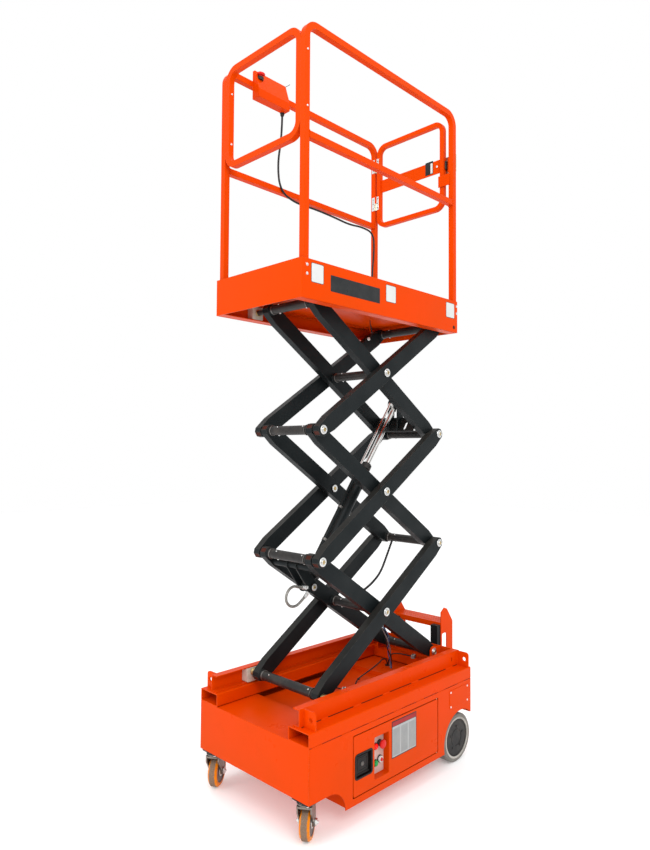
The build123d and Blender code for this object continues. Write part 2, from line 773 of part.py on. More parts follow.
# shafts of each inner frame: where along X, at which level, which steps
INNER_SHAFTS = {
    1: [(pivot_x, 0, REAR_FOOT), (centre_x, 0.5, THROUGH_OUTER), (front_x, 1, THROUGH_OUTER)],
    2: [(pivot_x, 1, THROUGH_OUTER), (centre_x, 1.5, STUB), (front_x, 2, THROUGH_OUTER)],
    3: [(pivot_x, 2, THROUGH_OUTER), (centre_x, 2.5, THROUGH_OUTER), (front_x, 3, TOP_SLIDE)],
}
for stage, rows in INNER_SHAFTS.items():
    with BuildPart() as inner_shafts:
        for x, level, steps in rows:
            shaft(x, joint_z(level), steps)
    keep(inner_shafts, f"inner_shafts_{stage}")

with BuildPart() as bottom_slide_shaft:
    shaft(front_x, joint_z(0), BOTTOM_SLIDE)
keep(bottom_slide_shaft, "bottom_slide_shaft")

with BuildPart() as top_pivot_shaft:
    shaft(pivot_x, joint_z(3), TOP_PIVOT)
keep(top_pivot_shaft, "top_pivot_shaft")

# ---------------------------------------------------------------- slide blocks
BOTTOM_BLOCK_Y = (262.0, 304.0)
TOP_BLOCK_Y = (250.0, 290.0)
SLIDER_CORNER = 4.0
channel_floor = pocket_top + CHANNEL_WALL + SLIDER_FIT
# each row: name, along |y|, lower face, pin height
SLIDES = [
    ("bottom_slide_blocks", BOTTOM_BLOCK_Y, channel_floor, joint_z(0)),
    ("top_slide_blocks", TOP_BLOCK_Y, tray_bottom + CHANNEL_WALL + SLIDER_FIT, joint_z(3)),
]
for name, (y_in, y_out), low, pin_z in SLIDES:
    with BuildPart() as slide_blocks:
        for side in SIDES.values():
            with BuildSketch(upright(side * y_in)):
                with Locations((front_x, low + SLIDER_H / 2)):
                    RectangleRounded(2 * SLIDER_HALF, SLIDER_H, SLIDER_CORNER)
                with Locations((front_x, pin_z)):
                    Circle(pin_bore, mode=Mode.SUBTRACT)
            extrude(amount=-side * (y_out - y_in))
    keep(slide_blocks, name)

# ---------------------------------------------------------------- lift cylinder
lower_arm = arm_plane(1, True, 0)
upper_arm = arm_plane(3, True, 0)
low_pin = lower_arm.from_local_coords((ARM_LENGTH - LOW_EYE[0], -LOW_EYE[1], 0))
high_pin = upper_arm.from_local_coords((*HIGH_EYE, 0))
stroke = high_pin - low_pin
cyl_length = stroke.length
cyl_axis = Plane(origin=low_pin, x_dir=(0, 1, 0), z_dir=stroke)
NECK_R = 19.0
BASE_AT = 56.0
BASE_T = 12.0
GLAND_R, GLAND_LENGTH = 20.0, 70.0
GUIDE_R, GUIDE_LENGTH = 10.0, 480.0
EYE_PIN_SHORT = 1.0
PIPE_COLLAR_R = 12.0
PISTON_LENGTH = 22.0
PIPE_LINK = 26.0
LINK_WALL = 3.0
ear_in = EYE_W / 2 + EAR_GAP
eye_pin_y = ear_in - EYE_PIN_SHORT
ear_out = ear_in + EAR_T
tube_end = BARREL_LENGTH - GLAND_LENGTH


def along_cylinder(radius, start, end, mode=Mode.ADD, aside=0.0):
    """Round piece along the cylinder between two distances from its lower pin."""
    with BuildSketch(cyl_axis.offset(start)) as outline:
        with Locations((0, -aside)):
            Circle(radius)
    extrude(outline.sketch, amount=end - start, mode=mode)


with BuildPart() as cylinder_barrel:
    rod_y(low_pin.X, low_pin.Z, EYE_R, -EYE_W / 2, EYE_W / 2)
    along_cylinder(NECK_R, 0, BASE_AT)
    along_cylinder(BARREL_R, BASE_AT, tube_end)
    along_cylinder(GLAND_R, tube_end, BARREL_LENGTH)
    along_cylinder(GUIDE_R, tube_end - GUIDE_LENGTH, BARREL_LENGTH, aside=PIPE_AWAY)
    along_cylinder(PIPE_COLLAR_R, tube_end, BARREL_LENGTH, aside=PIPE_AWAY)
    with BuildSketch(cyl_axis.offset(tube_end - BASE_T)) as head:
        Circle(BARREL_R)
        with Locations((0, -PIPE_AWAY)):
            Circle(PIPE_COLLAR_R)
        make_hull()
    extrude(head.sketch, amount=BASE_T)
    bore_from = BASE_AT + BASE_T
    along_cylinder(BARREL_R - BARREL_WALL, bore_from, tube_end - BASE_T, mode=Mode.SUBTRACT)
    along_cylinder(ROD_R + RUNNING_FIT, bore_from, BARREL_LENGTH, mode=Mode.SUBTRACT)
    pipe_bore = PIPE_R + RUNNING_FIT
    pipe_from = tube_end - GUIDE_LENGTH + BASE_T
    along_cylinder(pipe_bore, pipe_from, BARREL_LENGTH, mode=Mode.SUBTRACT, aside=PIPE_AWAY)
    rod_y(low_pin.X, low_pin.Z, pin_bore, -EYE_W, EYE_W, mode=Mode.SUBTRACT)
keep(cylinder_barrel, "cylinder_barrel")

rod_inner = cyl_length - ROD_LENGTH
pipe_inner = tube_end - GUIDE_LENGTH + BASE_T + PIPE_TRAVEL
link_at = cyl_length - EYE_R - PIPE_LINK
with BuildPart() as cylinder_rod:
    along_cylinder(ROD_R, rod_inner, cyl_length)
    along_cylinder(BARREL_R - BARREL_WALL - RUNNING_FIT, rod_inner, rod_inner + PISTON_LENGTH)
    along_cylinder(PIPE_R, pipe_inner, link_at + PIPE_LINK / 2, aside=PIPE_AWAY)
    with BuildSketch(cyl_axis.offset(link_at)) as link:
        Circle(ROD_R + LINK_WALL)
        with Locations((0, -PIPE_AWAY)):
            Circle(PIPE_R + LINK_WALL)
        make_hull()
    extrude(link.sketch, amount=PIPE_LINK / 2)
    rod_y(high_pin.X, high_pin.Z, EYE_R, -EYE_W / 2, EYE_W / 2)
    rod_y(high_pin.X, high_pin.Z, PIN_R, -eye_pin_y, eye_pin_y)
keep(cylinder_rod, "cylinder_rod")

BRACE_R = 17.5
BRACE_EDGE = 6.0
BRACE = (ARM_LENGTH - 54.0, -17.0)
BOLT_R = 16.5
BOLT_T = 8.0
PORT_R = 8.0
PORT_REACH = 48.0
PORT_SUNK = 4.0
PORT_ANGLES = (-36.9, 5.8)
port_y = ear_in + EAR_T / 2
with BuildPart() as cylinder_bracket:
    for side in SIDES.values():
        with BuildSketch(lower_arm.offset(-side * port_y)) as ear:
            with Locations((ARM_LENGTH - LOW_EYE[0], -LOW_EYE[1])):
                Circle(EAR_R)
            with Locations(BRACE):
                Circle(BRACE_R + BRACE_EDGE)
            make_hull()
        extrude(ear.sketch, amount=EAR_T / 2, both=True)
        brace_at = lower_arm.from_local_coords((*BRACE, 0))
        rod_y(brace_at.X, brace_at.Z, BRACE_R, 0, side * inner_face)
        rod_y(low_pin.X, low_pin.Z, PIN_R, 0, side * ear_out)
        rod_y(low_pin.X, low_pin.Z, BOLT_R, side * ear_out, side * (ear_out + BOLT_T))
    for angle in PORT_ANGLES:
        out = (cos(radians(angle)), 0, sin(radians(angle)))
        port_from = Plane(low_pin + Vector(0, port_y, 0), z_dir=out).offset(EAR_R - PORT_SUNK)
        with BuildSketch(port_from) as port:
            Circle(PORT_R)
        extrude(port.sketch, amount=PORT_REACH - EAR_R + PORT_SUNK)
keep(cylinder_bracket, "cylinder_bracket")

CLEVIS_AT = 110.0
CLEVIS_T = 8.0
CLEVIS_Z = (-58.0, 36.0)
SLOT_Y = 76.0
SLOT_Z = -22.0
SLOT = (52.0, 18.0)
clevis_face = upper_arm.from_local_coords((CLEVIS_AT, 0, 0))
with BuildPart() as rod_clevis:
    with BuildSketch(Plane(clevis_face, (0, 1, 0), upper_arm.x_dir)):
        with Locations((0, (CLEVIS_Z[0] + CLEVIS_Z[1]) / 2)):
            Rectangle(2 * inner_face, CLEVIS_Z[1] - CLEVIS_Z[0])
        with Locations((SLOT_Y, SLOT_Z), (-SLOT_Y, SLOT_Z)):
            SlotOverall(*SLOT, rotation=90, mode=Mode.SUBTRACT)
    extrude(amount=CLEVIS_T)
    for side in SIDES.values():
        with BuildSketch(upper_arm.offset(-side * (ear_in + EAR_T / 2))) as ear:
            with BuildLine():
                Polyline(
                    (CLEVIS_AT + CLEVIS_T, CLEVIS_Z[0]),
                    (HIGH_EYE[0] + EAR_R, HIGH_EYE[1] - EAR_R / 2),
                    (HIGH_EYE[0] + EAR_R, HIGH_EYE[1] + EAR_R / 2),
                    (HIGH_EYE[0] + EAR_R / 2, HIGH_EYE[1] + EAR_R),
                    (HIGH_EYE[0] - EAR_R / 2, HIGH_EYE[1] + EAR_R),
                    (CLEVIS_AT + CLEVIS_T, CLEVIS_Z[1]),
                    close=True,
                )
            make_face()
        extrude(ear.sketch, amount=EAR_T / 2, both=True)
        rod_y(high_pin.X, high_pin.Z, BOLT_R, side * ear_out, side * (ear_out + BOLT_T))
keep(rod_clevis, "rod_clevis")

# ---------------------------------------------------------------- platform tray
with BuildPart() as platform_tray:
    block(-tray_x, tray_x, -tray_y, tray_y, tray_bottom, tray_top)
    block(
        -tray_x + SHEET,
        tray_x - SHEET,
        -tray_y + SHEET,
        tray_y - SHEET,
        floor_top,
        tray_top,
        mode=Mode.SUBTRACT,
    )
    block(
        -tray_x + SHEET,
        tray_x - SHEET,
        -tray_y + SHEET,
        tray_y - SHEET,
        tray_bottom,
        floor_under,
        mode=Mode.SUBTRACT,
    )
    panel_y = post_face - PANEL_INSET
    block(-tray_x + SHEET, tray_x - SHEET, -panel_y, panel_y, floor_top, floor_top + PANEL_T)
keep(platform_tray, "platform_tray")

with BuildPart() as platform_channels:
    for side in SIDES.values():
        web_in = side * (TOP_BLOCK_Y[1] + SLIDER_FIT)
        web_out = web_in + side * CHANNEL_WALL
        edge = side * TOP_BLOCK_Y[0]
        with BuildSketch(Plane.YZ.offset(-tray_x + SHEET)):
            with BuildLine():
                Polyline(
                    (edge, tray_bottom),
                    (web_out, tray_bottom),
                    (web_out, floor_under),
                    (edge, floor_under),
                    (edge, floor_under - CHANNEL_WALL),
                    (web_in, floor_under - CHANNEL_WALL),
                    (web_in, tray_bottom + CHANNEL_WALL),
                    (edge, tray_bottom + CHANNEL_WALL),
                    close=True,
                )
            make_face()
        extrude(amount=TRAY_LENGTH - 2 * SHEET)
        with BuildSketch(upright(side * TOP_LUG_Y)):
            with BuildLine():
                Polyline(
                    (pivot_x - ARM_LUG_R, top_z),
                    (pivot_x - ARM_LUG_R, floor_under),
                    (pivot_x + 2 * ARM_LUG_R, floor_under),
                    (pivot_x + ARM_LUG_R, top_z),
                )
                ThreePointArc(
                    (pivot_x + ARM_LUG_R, top_z),
                    (pivot_x, top_z - ARM_LUG_R),
                    (pivot_x - ARM_LUG_R, top_z),
                )
            make_face()
            with Locations((pivot_x, top_z)):
                Circle(pin_bore, mode=Mode.SUBTRACT)
        extrude(amount=TOP_LUG_T / 2, both=True)
keep(platform_channels, "platform_channels")


# ---------------------------------------------------------------- guard rails
def square_run(plane, corners, size, radius, mode=Mode.ADD, close=False):
    """Square bar bent along a line of corners in a plane."""
    with BuildLine(plane) as path:
        if len(corners) > 2:
            FilletPolyline(*corners, radius=radius, close=close)
        else:
            Line(*corners)
    start = Plane(origin=path.line @ 0, x_dir=plane.z_dir, z_dir=path.line % 0)
    with BuildSketch(start) as section:
        Rectangle(size, size)
    sweep(section.sketch, path=path.line, mode=mode)


hollow_size = RAIL - 2 * RAIL_WALL
for label, side in SIDES.items():
    plane = upright(side * post_y)
    hoop = [
        (post_front_x, floor_top),
        (post_front_x, rail_z),
        (post_rear_x, rail_z),
        (post_rear_x, floor_top),
    ]
    bar_in = [(post_rear_x, mid_z), (post_front_x, mid_z)]
    bar = [(post_rear_x + RAIL / 2, mid_z), (post_front_x - RAIL / 2, mid_z)]
    with BuildPart() as side_rail:
        square_run(plane, hoop, RAIL, RAIL_BEND)
        square_run(plane, bar, RAIL, RAIL_BEND)
        square_run(plane, hoop, hollow_size, RAIL_BEND, mode=Mode.SUBTRACT)
        square_run(plane, bar_in, hollow_size, RAIL_BEND, mode=Mode.SUBTRACT)
    keep(side_rail, f"side_rail_{label}")

loop_y = post_y - RAIL


def loop_corners(y0, y1, z0, z1):
    """Corners of a closed upright frame."""
    return [(y0, z0), (y1, z0), (y1, z1), (y0, z1)]


with BuildPart() as front_rail:
    plane = Plane.YZ.offset(post_front_x)
    corners = loop_corners(-loop_y, loop_y, mid_z + LOOP_LIFT, rail_z - LOOP_DROP)
    square_run(plane, corners, RAIL, LOOP_BEND, close=True)
    square_run(plane, corners, hollow_size, LOOP_BEND, mode=Mode.SUBTRACT, close=True)
keep(front_rail, "front_rail")

# ---------------------------------------------------------------- gate
gate_y0 = -post_face + GATE_GAP
gate_y1 = post_face - GATE_CLEARANCE
hinge_x = post_rear_x + GATE_TUBE / 2
hinge_y = -post_face + GATE_GAP / 2
KNUCKLE_R = 6.0
KNUCKLE_PIN_R = 3.0
HINGE_ROWS = (mid_z + 95.0, mid_z + 332.0)
HINGE_H = 90.0
HINGE_PLAY = 1.0
LEAF_T = 4.0
LATCH_LOW, LATCH_H, LATCH_OVERLAP = mid_z + 188.0, 98.0, 6.0
GATE_PLATE_LOW, GATE_PLATE_H, GATE_PLATE_T = mid_z + 203.0, 76.0, 6.0
with BuildPart() as gate_frame:
    plane = Plane.YZ.offset(post_rear_x)
    inset = GATE_TUBE / 2
    y_near, y_far = gate_y0 + inset, gate_y1 - inset
    z_low = mid_z - GATE_BELOW_MID + inset
    z_high = rail_z - GATE_TOP_DROP - inset
    gate_corners = loop_corners(y_near, y_far, z_low, z_high)
    square_run(plane, gate_corners, GATE_TUBE, GATE_BEND, close=True)
    block(
        post_rear_x - GATE_PLATE_T / 2,
        post_rear_x + GATE_PLATE_T / 2,
        y_near + inset,
        y_far - inset,
        GATE_PLATE_LOW,
        GATE_PLATE_LOW + GATE_PLATE_H,
    )
    for hinge_z in HINGE_ROWS:
        block(hinge_x - LEAF_T, hinge_x, hinge_y, gate_y0, hinge_z + HINGE_H / 2, hinge_z + HINGE_H)
        for radius, mode in ((KNUCKLE_R, Mode.ADD), (KNUCKLE_PIN_R + RUNNING_FIT, Mode.SUBTRACT)):
            with BuildSketch(Plane.XY.offset(hinge_z + HINGE_H / 2)) as outline:
                with Locations((hinge_x, hinge_y)):
                    Circle(radius)
            extrude(outline.sketch, amount=HINGE_H / 2, mode=mode)
keep(gate_frame, "gate_frame")

with BuildPart() as gate_hinges:
    for hinge_z in HINGE_ROWS:
        block(
            hinge_x - LEAF_T,
            hinge_x,
            -post_face,
            hinge_y,
            hinge_z,
            hinge_z + HINGE_H / 2 - HINGE_PLAY,
        )
        for radius, tall in (
            (KNUCKLE_R, HINGE_H / 2 - HINGE_PLAY),
            (KNUCKLE_PIN_R, HINGE_H - 2 * HINGE_PLAY),
        ):
            with BuildSketch(Plane.XY.offset(hinge_z)) as outline:
                with Locations((hinge_x, hinge_y)):
                    Circle(radius)
            extrude(outline.sketch, amount=tall)
    block(
        post_rear_x - RAIL / 2 - LEAF_T,
        post_rear_x - RAIL / 2,
        gate_y1 - GATE_TUBE - LATCH_OVERLAP,
        post_y + RAIL / 2,
        LATCH_LOW,
        LATCH_LOW + LATCH_H,
    )
keep(gate_hinges, "gate_hinges")

# ---------------------------------------------------------------- platform control box
BOX_X0, BOX_X1 = 200.0, 415.0
BOX_BELOW, BOX_LEDGE, BOX_ABOVE = 82.0, 38.0, 66.0
BOX_FOOT, BOX_HEAD = 50.0, 16.0
with BuildPart() as control_box:
    with BuildSketch(Plane.YZ.offset(BOX_X0)):
        with BuildLine():
            Polyline(
                (-post_face, rail_z - BOX_BELOW),
                (-post_face + BOX_FOOT, rail_z - BOX_BELOW),
                (-post_face + BOX_FOOT, rail_z - BOX_LEDGE),
                (-post_face + BOX_HEAD, rail_z + BOX_ABOVE),
                (-post_face, rail_z + BOX_ABOVE),
                close=True,
            )
        make_face()
    extrude(amount=BOX_X1 - BOX_X0)
keep(control_box, "control_box")

# ---------------------------------------------------------------- access doors
hinge_door_x = DOOR_X0 + HINGE_INSET
door_mid_y = half_wid - DOOR_T / 2
DOOR_BORE = 15.0
LATCH_AT = (268.0, 250.0)
LATCH_SIZE = 108.0
PAN_DEPTH = 22.0
PAN_WALL = 2.0
PAN_CORNER = 5.0
PIN_PLAY = 1.0
PANEL = {"x0": 90.0, "x1": 195.0, "z0": 155.0, "z1": 343.0, "depth": 35.0}


def pan(side, x, z, wide, tall, depth):
    """Recessed pan let into a door, open to the outside."""
    outer = side * half_wid
    with BuildSketch(upright(outer)) as skin:
        with Locations((x, z)):
            RectangleRounded(wide + 2 * PAN_WALL, tall + 2 * PAN_WALL, PAN_CORNER + PAN_WALL)
    extrude(skin.sketch, amount=side * depth)
    with BuildSketch(upright(outer)) as well:
        with Locations((x, z)):
            RectangleRounded(wide, tall, PAN_CORNER)
    extrude(well.sketch, amount=side * (depth - PAN_WALL), mode=Mode.SUBTRACT)


for label, side in SIDES.items():
    with BuildPart() as door:
        with BuildSketch(upright(side * half_wid)):
            with Locations((door_mid_x, door_mid_z)):
                RectangleRounded(door_w, door_h, DOOR_CORNER)
        extrude(amount=side * DOOR_T)
        pan(side, *LATCH_AT, LATCH_SIZE, LATCH_SIZE, PAN_DEPTH)
        if label == "left":
            pan(
                side,
                (PANEL["x0"] + PANEL["x1"]) / 2,
                (PANEL["z0"] + PANEL["z1"]) / 2,
                PANEL["x1"] - PANEL["x0"],
                PANEL["z1"] - PANEL["z0"],
                PANEL["depth"],
            )
        for low in (DOOR_Z0, DOOR_Z1 - DOOR_BORE):
            with BuildSketch(Plane.XY.offset(low)) as bore:
                with Locations((hinge_door_x, side * door_mid_y)):
                    Circle(HINGE_PIN_R + RUNNING_FIT)
            extrude(bore.sketch, amount=DOOR_BORE, mode=Mode.SUBTRACT)
    keep(door, f"door_{label}")

with BuildPart() as door_pins:
    for side in SIDES.values():
        for low in (DOOR_Z0 - DOOR_GAP, DOOR_Z1 - DOOR_BORE + PIN_PLAY):
            with BuildSketch(Plane.XY.offset(low)):
                with Locations((hinge_door_x, side * door_mid_y)):
                    Circle(HINGE_PIN_R)
            extrude(amount=DOOR_BORE + DOOR_GAP - PIN_PLAY)
keep(door_pins, "door_pins")

# ---------------------------------------------------------------- cords held all the way
SHARE = 0.45
CORD_SIDES = 8
CABLE_R = 5.5
HOSE_R = 6.5
HARNESS_R = 7.0
CORD_TOUCH = 0.3
FIRST_RUN = 42.0
HARNESS_Y = -100.0
HARNESS_ASIDE = 8.0
cable_y = -post_face + CABLE_R + 0.8
tube_under = sqrt(TUBE_R**2 - HARNESS_ASIDE**2)
harness_top = (pivot_x + HARNESS_ASIDE, joint_z(1) - tube_under - 2 * CORD_TOUCH)
harness_foot = (centre_x - TUBE_R - CORD_TOUCH, joint_z(0.5))
port_mouths, port_exits = [
    [
        (low_pin.X + reached * cos(radians(a)), low_pin.Z + reached * sin(radians(a)))
        for a in PORT_ANGLES
    ]
    for reached in (PORT_REACH + CORD_TOUCH, PORT_REACH + FIRST_RUN)
]
# each row: node, distance of the route's plane along Y, radius, points along X and Z
CORDS = [
    ("control_cable", cable_y, CABLE_R, [
        (214, rail_z - BOX_BELOW - CORD_TOUCH), (216, 3330), (245, 3175), (226, 3036), (120, 2998),
        (-30, 3004), (-185, 2999), (-325, 2988), (-440, 3002), (-549, 2989), (-553, 2870),
        (-534, 2730), (-541, 2565), (-533, floor_top + CORD_TOUCH),
    ]),
    ("cylinder_hose", port_y, HOSE_R, [
        port_mouths[0], port_exits[0], (362, 906), (399, 910), (422, 934), (424, 963),
        (407, 990), (375, 1001), port_exits[1], port_mouths[1],
    ]),
    ("lift_harness", HARNESS_Y, HARNESS_R, [
        harness_top, (-478, 1030), (-428, 950), (-362, 902), (-285, 868), (-195, 848), harness_foot,
    ]),
]


def turn(before, here, after):
    """Angle through which a route bends at a point, in degrees."""
    into = Vector(here[0] - before[0], here[1] - before[1])
    onward = Vector(after[0] - here[0], after[1] - here[1])
    return into.get_angle(onward)


def bend_radii(route):
    """Largest arcs that two neighbouring runs leave room for."""
    radii = []
    for before, here, after in zip(route, route[1:], route[2:]):
        shorter = min(dist(before, here), dist(here, after))
        radii.append(SHARE * shorter / tan(radians(turn(before, here, after) / 2)))
    return radii


for name, cord_y, cord_r, route in CORDS:
    radii = bend_radii(route)
    print(name, [round(radius) for radius in radii])
    with BuildPart() as cord:
        with BuildLine(upright(cord_y)) as path:
            FilletPolyline(*route, radius=radii)
        with BuildSketch(Plane(path.line @ 0, z_dir=path.line % 0)) as section:
            RegularPolygon(cord_r, CORD_SIDES)
        sweep(section.sketch, path=path.line)
    keep(cord, name)
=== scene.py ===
"""Looks of the compact scissor lift: materials, fasteners, plates, leads, studio and camera.

Metres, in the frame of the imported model: +X to the caster end, +Y to the machine's left, +Z up.
"""

import json
import math

import bmesh
import bpy
from mathutils import Matrix, Vector


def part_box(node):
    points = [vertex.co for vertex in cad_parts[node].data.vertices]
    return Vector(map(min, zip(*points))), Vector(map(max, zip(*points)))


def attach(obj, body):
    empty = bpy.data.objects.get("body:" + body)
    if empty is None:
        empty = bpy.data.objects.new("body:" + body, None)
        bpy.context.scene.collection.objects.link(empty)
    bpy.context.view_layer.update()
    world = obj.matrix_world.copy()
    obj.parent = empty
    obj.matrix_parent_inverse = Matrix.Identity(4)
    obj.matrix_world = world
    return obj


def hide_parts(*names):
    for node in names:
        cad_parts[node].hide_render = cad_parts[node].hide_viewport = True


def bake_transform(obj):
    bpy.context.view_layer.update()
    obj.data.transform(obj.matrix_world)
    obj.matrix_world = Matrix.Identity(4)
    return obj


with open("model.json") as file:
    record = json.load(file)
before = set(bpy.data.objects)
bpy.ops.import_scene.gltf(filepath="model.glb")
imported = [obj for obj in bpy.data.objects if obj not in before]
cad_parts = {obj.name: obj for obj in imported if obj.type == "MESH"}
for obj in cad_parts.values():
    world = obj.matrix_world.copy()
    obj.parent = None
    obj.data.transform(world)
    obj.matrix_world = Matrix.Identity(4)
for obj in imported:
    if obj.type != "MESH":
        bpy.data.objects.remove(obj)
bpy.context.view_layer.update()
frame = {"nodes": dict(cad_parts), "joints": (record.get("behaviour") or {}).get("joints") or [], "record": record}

SIDES = {"left": 1, "right": -1}
BOTH = tuple(SIDES.values())
MM = 0.001
CHASSIS_X = 70.0


def linked(name, data):
    """New object in the scene."""
    made = bpy.data.objects.new(name, data)
    bpy.context.collection.objects.link(made)
    return made


# ---- camera
CAMERA_AT = Vector((2.6141, 2.3532, 1.6487))
HEADING = math.radians(224.3987)
PITCH = math.radians(2.1752)
ROLL = math.radians(0.346)
LENS = 28.016
SENSOR = 36.0
ahead = Vector(
    (math.cos(HEADING) * math.cos(PITCH), math.sin(HEADING) * math.cos(PITCH), math.sin(PITCH))
)
level_right = Vector((math.sin(HEADING), -math.cos(HEADING), 0))
level_up = level_right.cross(ahead)
right = level_right * math.cos(ROLL) + level_up * math.sin(ROLL)
up = right.cross(ahead)
camera_data = bpy.data.cameras.new("camera")
camera_data.lens = LENS
camera_data.sensor_width = SENSOR
camera_data.clip_end = 60
camera = linked("camera", camera_data)
camera_turn = Matrix((right, up, -ahead)).transposed().to_4x4()
camera.matrix_world = Matrix.Translation(CAMERA_AT) @ camera_turn
bpy.context.scene.camera = camera
bpy.context.scene.view_settings.view_transform = "Standard"


# ---- places taken from the frame
def at(x, y, z):
    """Point in metres from millimetres measured from the middle of the chassis body."""
    return Vector((x + CHASSIS_X, y, z)) * MM


joint_at = {j["name"]: j for j in frame["joints"]}


def joint_place(name):
    """Point of a joint at rest."""
    return Vector(joint_at[name]["pos_m"])


# ---- materials
class Shader:
    """Small builder for a procedural material."""

    def __init__(self, name, color, rough, metallic=0.0, specular=0.5, tint=(1, 1, 1)):
        self.mat = bpy.data.materials.new(name)
        self.mat.use_nodes = True
        self.nodes = self.mat.node_tree.nodes
        self.inputs = self.nodes["Principled BSDF"].inputs
        self.color((*color, 1))
        self.rough(rough)
        self.put(self.inputs["Metallic"], metallic)
        self.put(self.inputs["Specular IOR Level"], specular)
        self.put(self.inputs["Specular Tint"], (*tint, 1))
        self.mat.diffuse_color = (*color, 1)
        self.place = self.nodes.new("ShaderNodeTexCoord").outputs["Object"]

    def put(self, socket, value):
        """Give a socket a value or another node's output."""
        if hasattr(value, "is_output"):
            self.mat.node_tree.links.new(value, socket)
        else:
            socket.default_value = value

    def add(self, kind, values=None, **settings):
        """New node with settings, and with socket values by name or number."""
        node = self.nodes.new(kind)
        for key, value in settings.items():
            setattr(node, key, value)
        for key, value in (values or {}).items():
            self.put(node.inputs[key], value)
        return node

    def noise(self, scale, detail=4.0, rough=0.55):
        """Noise in object space, as a 0 to 1 value."""
        values = {"Vector": self.place, "Scale": scale, "Detail": detail, "Roughness": rough}
        return self.add("ShaderNodeTexNoise", values).outputs["Fac"]

    def steps(self, value, low, high, to_low=0.0, to_high=1.0):
        """Value remapped from one range to another, clamped."""
        values = {"Value": value, 1: low, 2: high, 3: to_low, 4: to_high}
        return self.add("ShaderNodeMapRange", values).outputs[0]

    def math(self, kind, a, b=0.0):
        """One math step."""
        return self.add("ShaderNodeMath", {0: a, 1: b}, operation=kind).outputs[0]

    def mix(self, factor, a, b):
        """Colour a where the factor is 0, colour b where it is 1."""
        a, b = [(*c, 1) if isinstance(c, tuple) else c for c in (a, b)]
        return self.add("ShaderNodeMix", {0: factor, 6: a, 7: b}, data_type="RGBA").outputs[2]

    def edges(self, radius):
        """Mask that is 1 on sharp edges."""
        soft = self.add("ShaderNodeBevel", {"Radius": radius}, samples=4).outputs[0]
        flat = self.add("ShaderNodeNewGeometry").outputs["Normal"]
        dot = self.add("ShaderNodeVectorMath", {0: soft, 1: flat}, operation="DOT_PRODUCT")
        return self.steps(self.math("SUBTRACT", 1.0, dot.outputs["Value"]), 0.02, 0.25)

    def facing_up(self):
        """How far the surface of the piece at rest faces up, 0 to 1."""
        normal = self.nodes["Texture Coordinate"].outputs["Normal"]
        split = self.add("ShaderNodeSeparateXYZ", {0: normal})
        return self.steps(split.outputs["Z"], 0.2, 0.9)

    def along(self, point, axis):
        """Distance along an axis from a point, in metres."""
        away = self.add("ShaderNodeVectorMath", {0: self.place, 1: point}, operation="SUBTRACT")
        values = {0: away.outputs[0], 1: axis}
        return self.add("ShaderNodeVectorMath", values, operation="DOT_PRODUCT").outputs["Value"]

    def bump(self, height, strength, distance, bevel=0.0):
        """Bump over a softened edge."""
        values = {"Strength": strength, "Distance": distance, "Height": height}
        if bevel:
            values["Normal"] = self.add("ShaderNodeBevel", {"Radius": bevel}, samples=4).outputs[0]
        self.put(self.inputs["Normal"], self.add("ShaderNodeBump", values).outputs[0])

    def color(self, value):
        """Set the base colour."""
        self.put(self.inputs["Base Color"], value)

    def rough(self, value):
        """Set the roughness."""
        self.put(self.inputs["Roughness"], value)


def orange_paint():
    """Gloss powder coat: deep orange, slightly mottled, redder in the grime, lighter at the edges from worn paint
    and a painted highlight.
    """
    s = Shader("orange_paint", (0.66, 0.048, 0.0), 0.32, tint=(1.0, 0.3, 0.06))
    s.inputs["IOR"].default_value = 1.16
    mottle = s.steps(s.noise(2.2, 5.0), 0.35, 0.7)
    tone = s.mix(mottle, (0.68, 0.048, 0.0), (0.61, 0.050, 0.0005))
    grime = s.math("MULTIPLY", s.steps(s.noise(14.0, 8.0, 0.7), 0.55, 0.8), 0.14)
    tone = s.mix(grime, tone, (0.40, 0.035, 0.004))
    # edges lighter: worn paint in patches, and a painted highlight all along them
    edge_wear_and_highlight = s.math("MULTIPLY", s.edges(0.002), s.steps(s.noise(60.0, 6.0), 0.52, 0.66, 0.2, 0.55))
    s.color(s.mix(edge_wear_and_highlight, tone, (0.95, 0.16, 0.02)))
    s.rough(s.steps(s.noise(9.0, 6.0), 0.3, 0.75, 0.26, 0.42))
    s.bump(s.noise(420.0, 3.0), 0.12, 0.0004, bevel=0.0022)
    return s.mat


def black_paint():
    """Black paint on the arms: dusty on the faces that look up, lighter at the edges from scuffs and a painted
    highlight.
    """
    s = Shader("black_paint", (0.010, 0.011, 0.012), 0.42, specular=0.3, tint=(0.85, 0.95, 1.0))
    s.inputs["IOR"].default_value = 1.33
    mottle = s.steps(s.noise(7.0, 6.0), 0.3, 0.75)
    base = s.mix(mottle, (0.004, 0.006, 0.0066), (0.010, 0.012, 0.0125))
    dust = s.steps(s.noise(5.0, 8.0, 0.65), 0.25, 0.8, 0.04, 0.36)
    dust = s.math("MULTIPLY", s.facing_up(), dust)
    tone = s.mix(dust, base, (0.075, 0.060, 0.047))
    # edges lighter: scuffs in patches, and a painted highlight all along them
    edge_wear_and_highlight = s.math("MULTIPLY", s.edges(0.0025), s.steps(s.noise(45.0, 6.0), 0.4, 0.65, 0.25, 0.8))
    s.color(s.mix(edge_wear_and_highlight, tone, (0.13, 0.12, 0.105)))
    s.rough(s.steps(s.noise(11.0, 6.0), 0.3, 0.75, 0.36, 0.56))
    s.bump(s.noise(300.0, 4.0), 0.15, 0.0004, bevel=0.0025)
    return s.mat


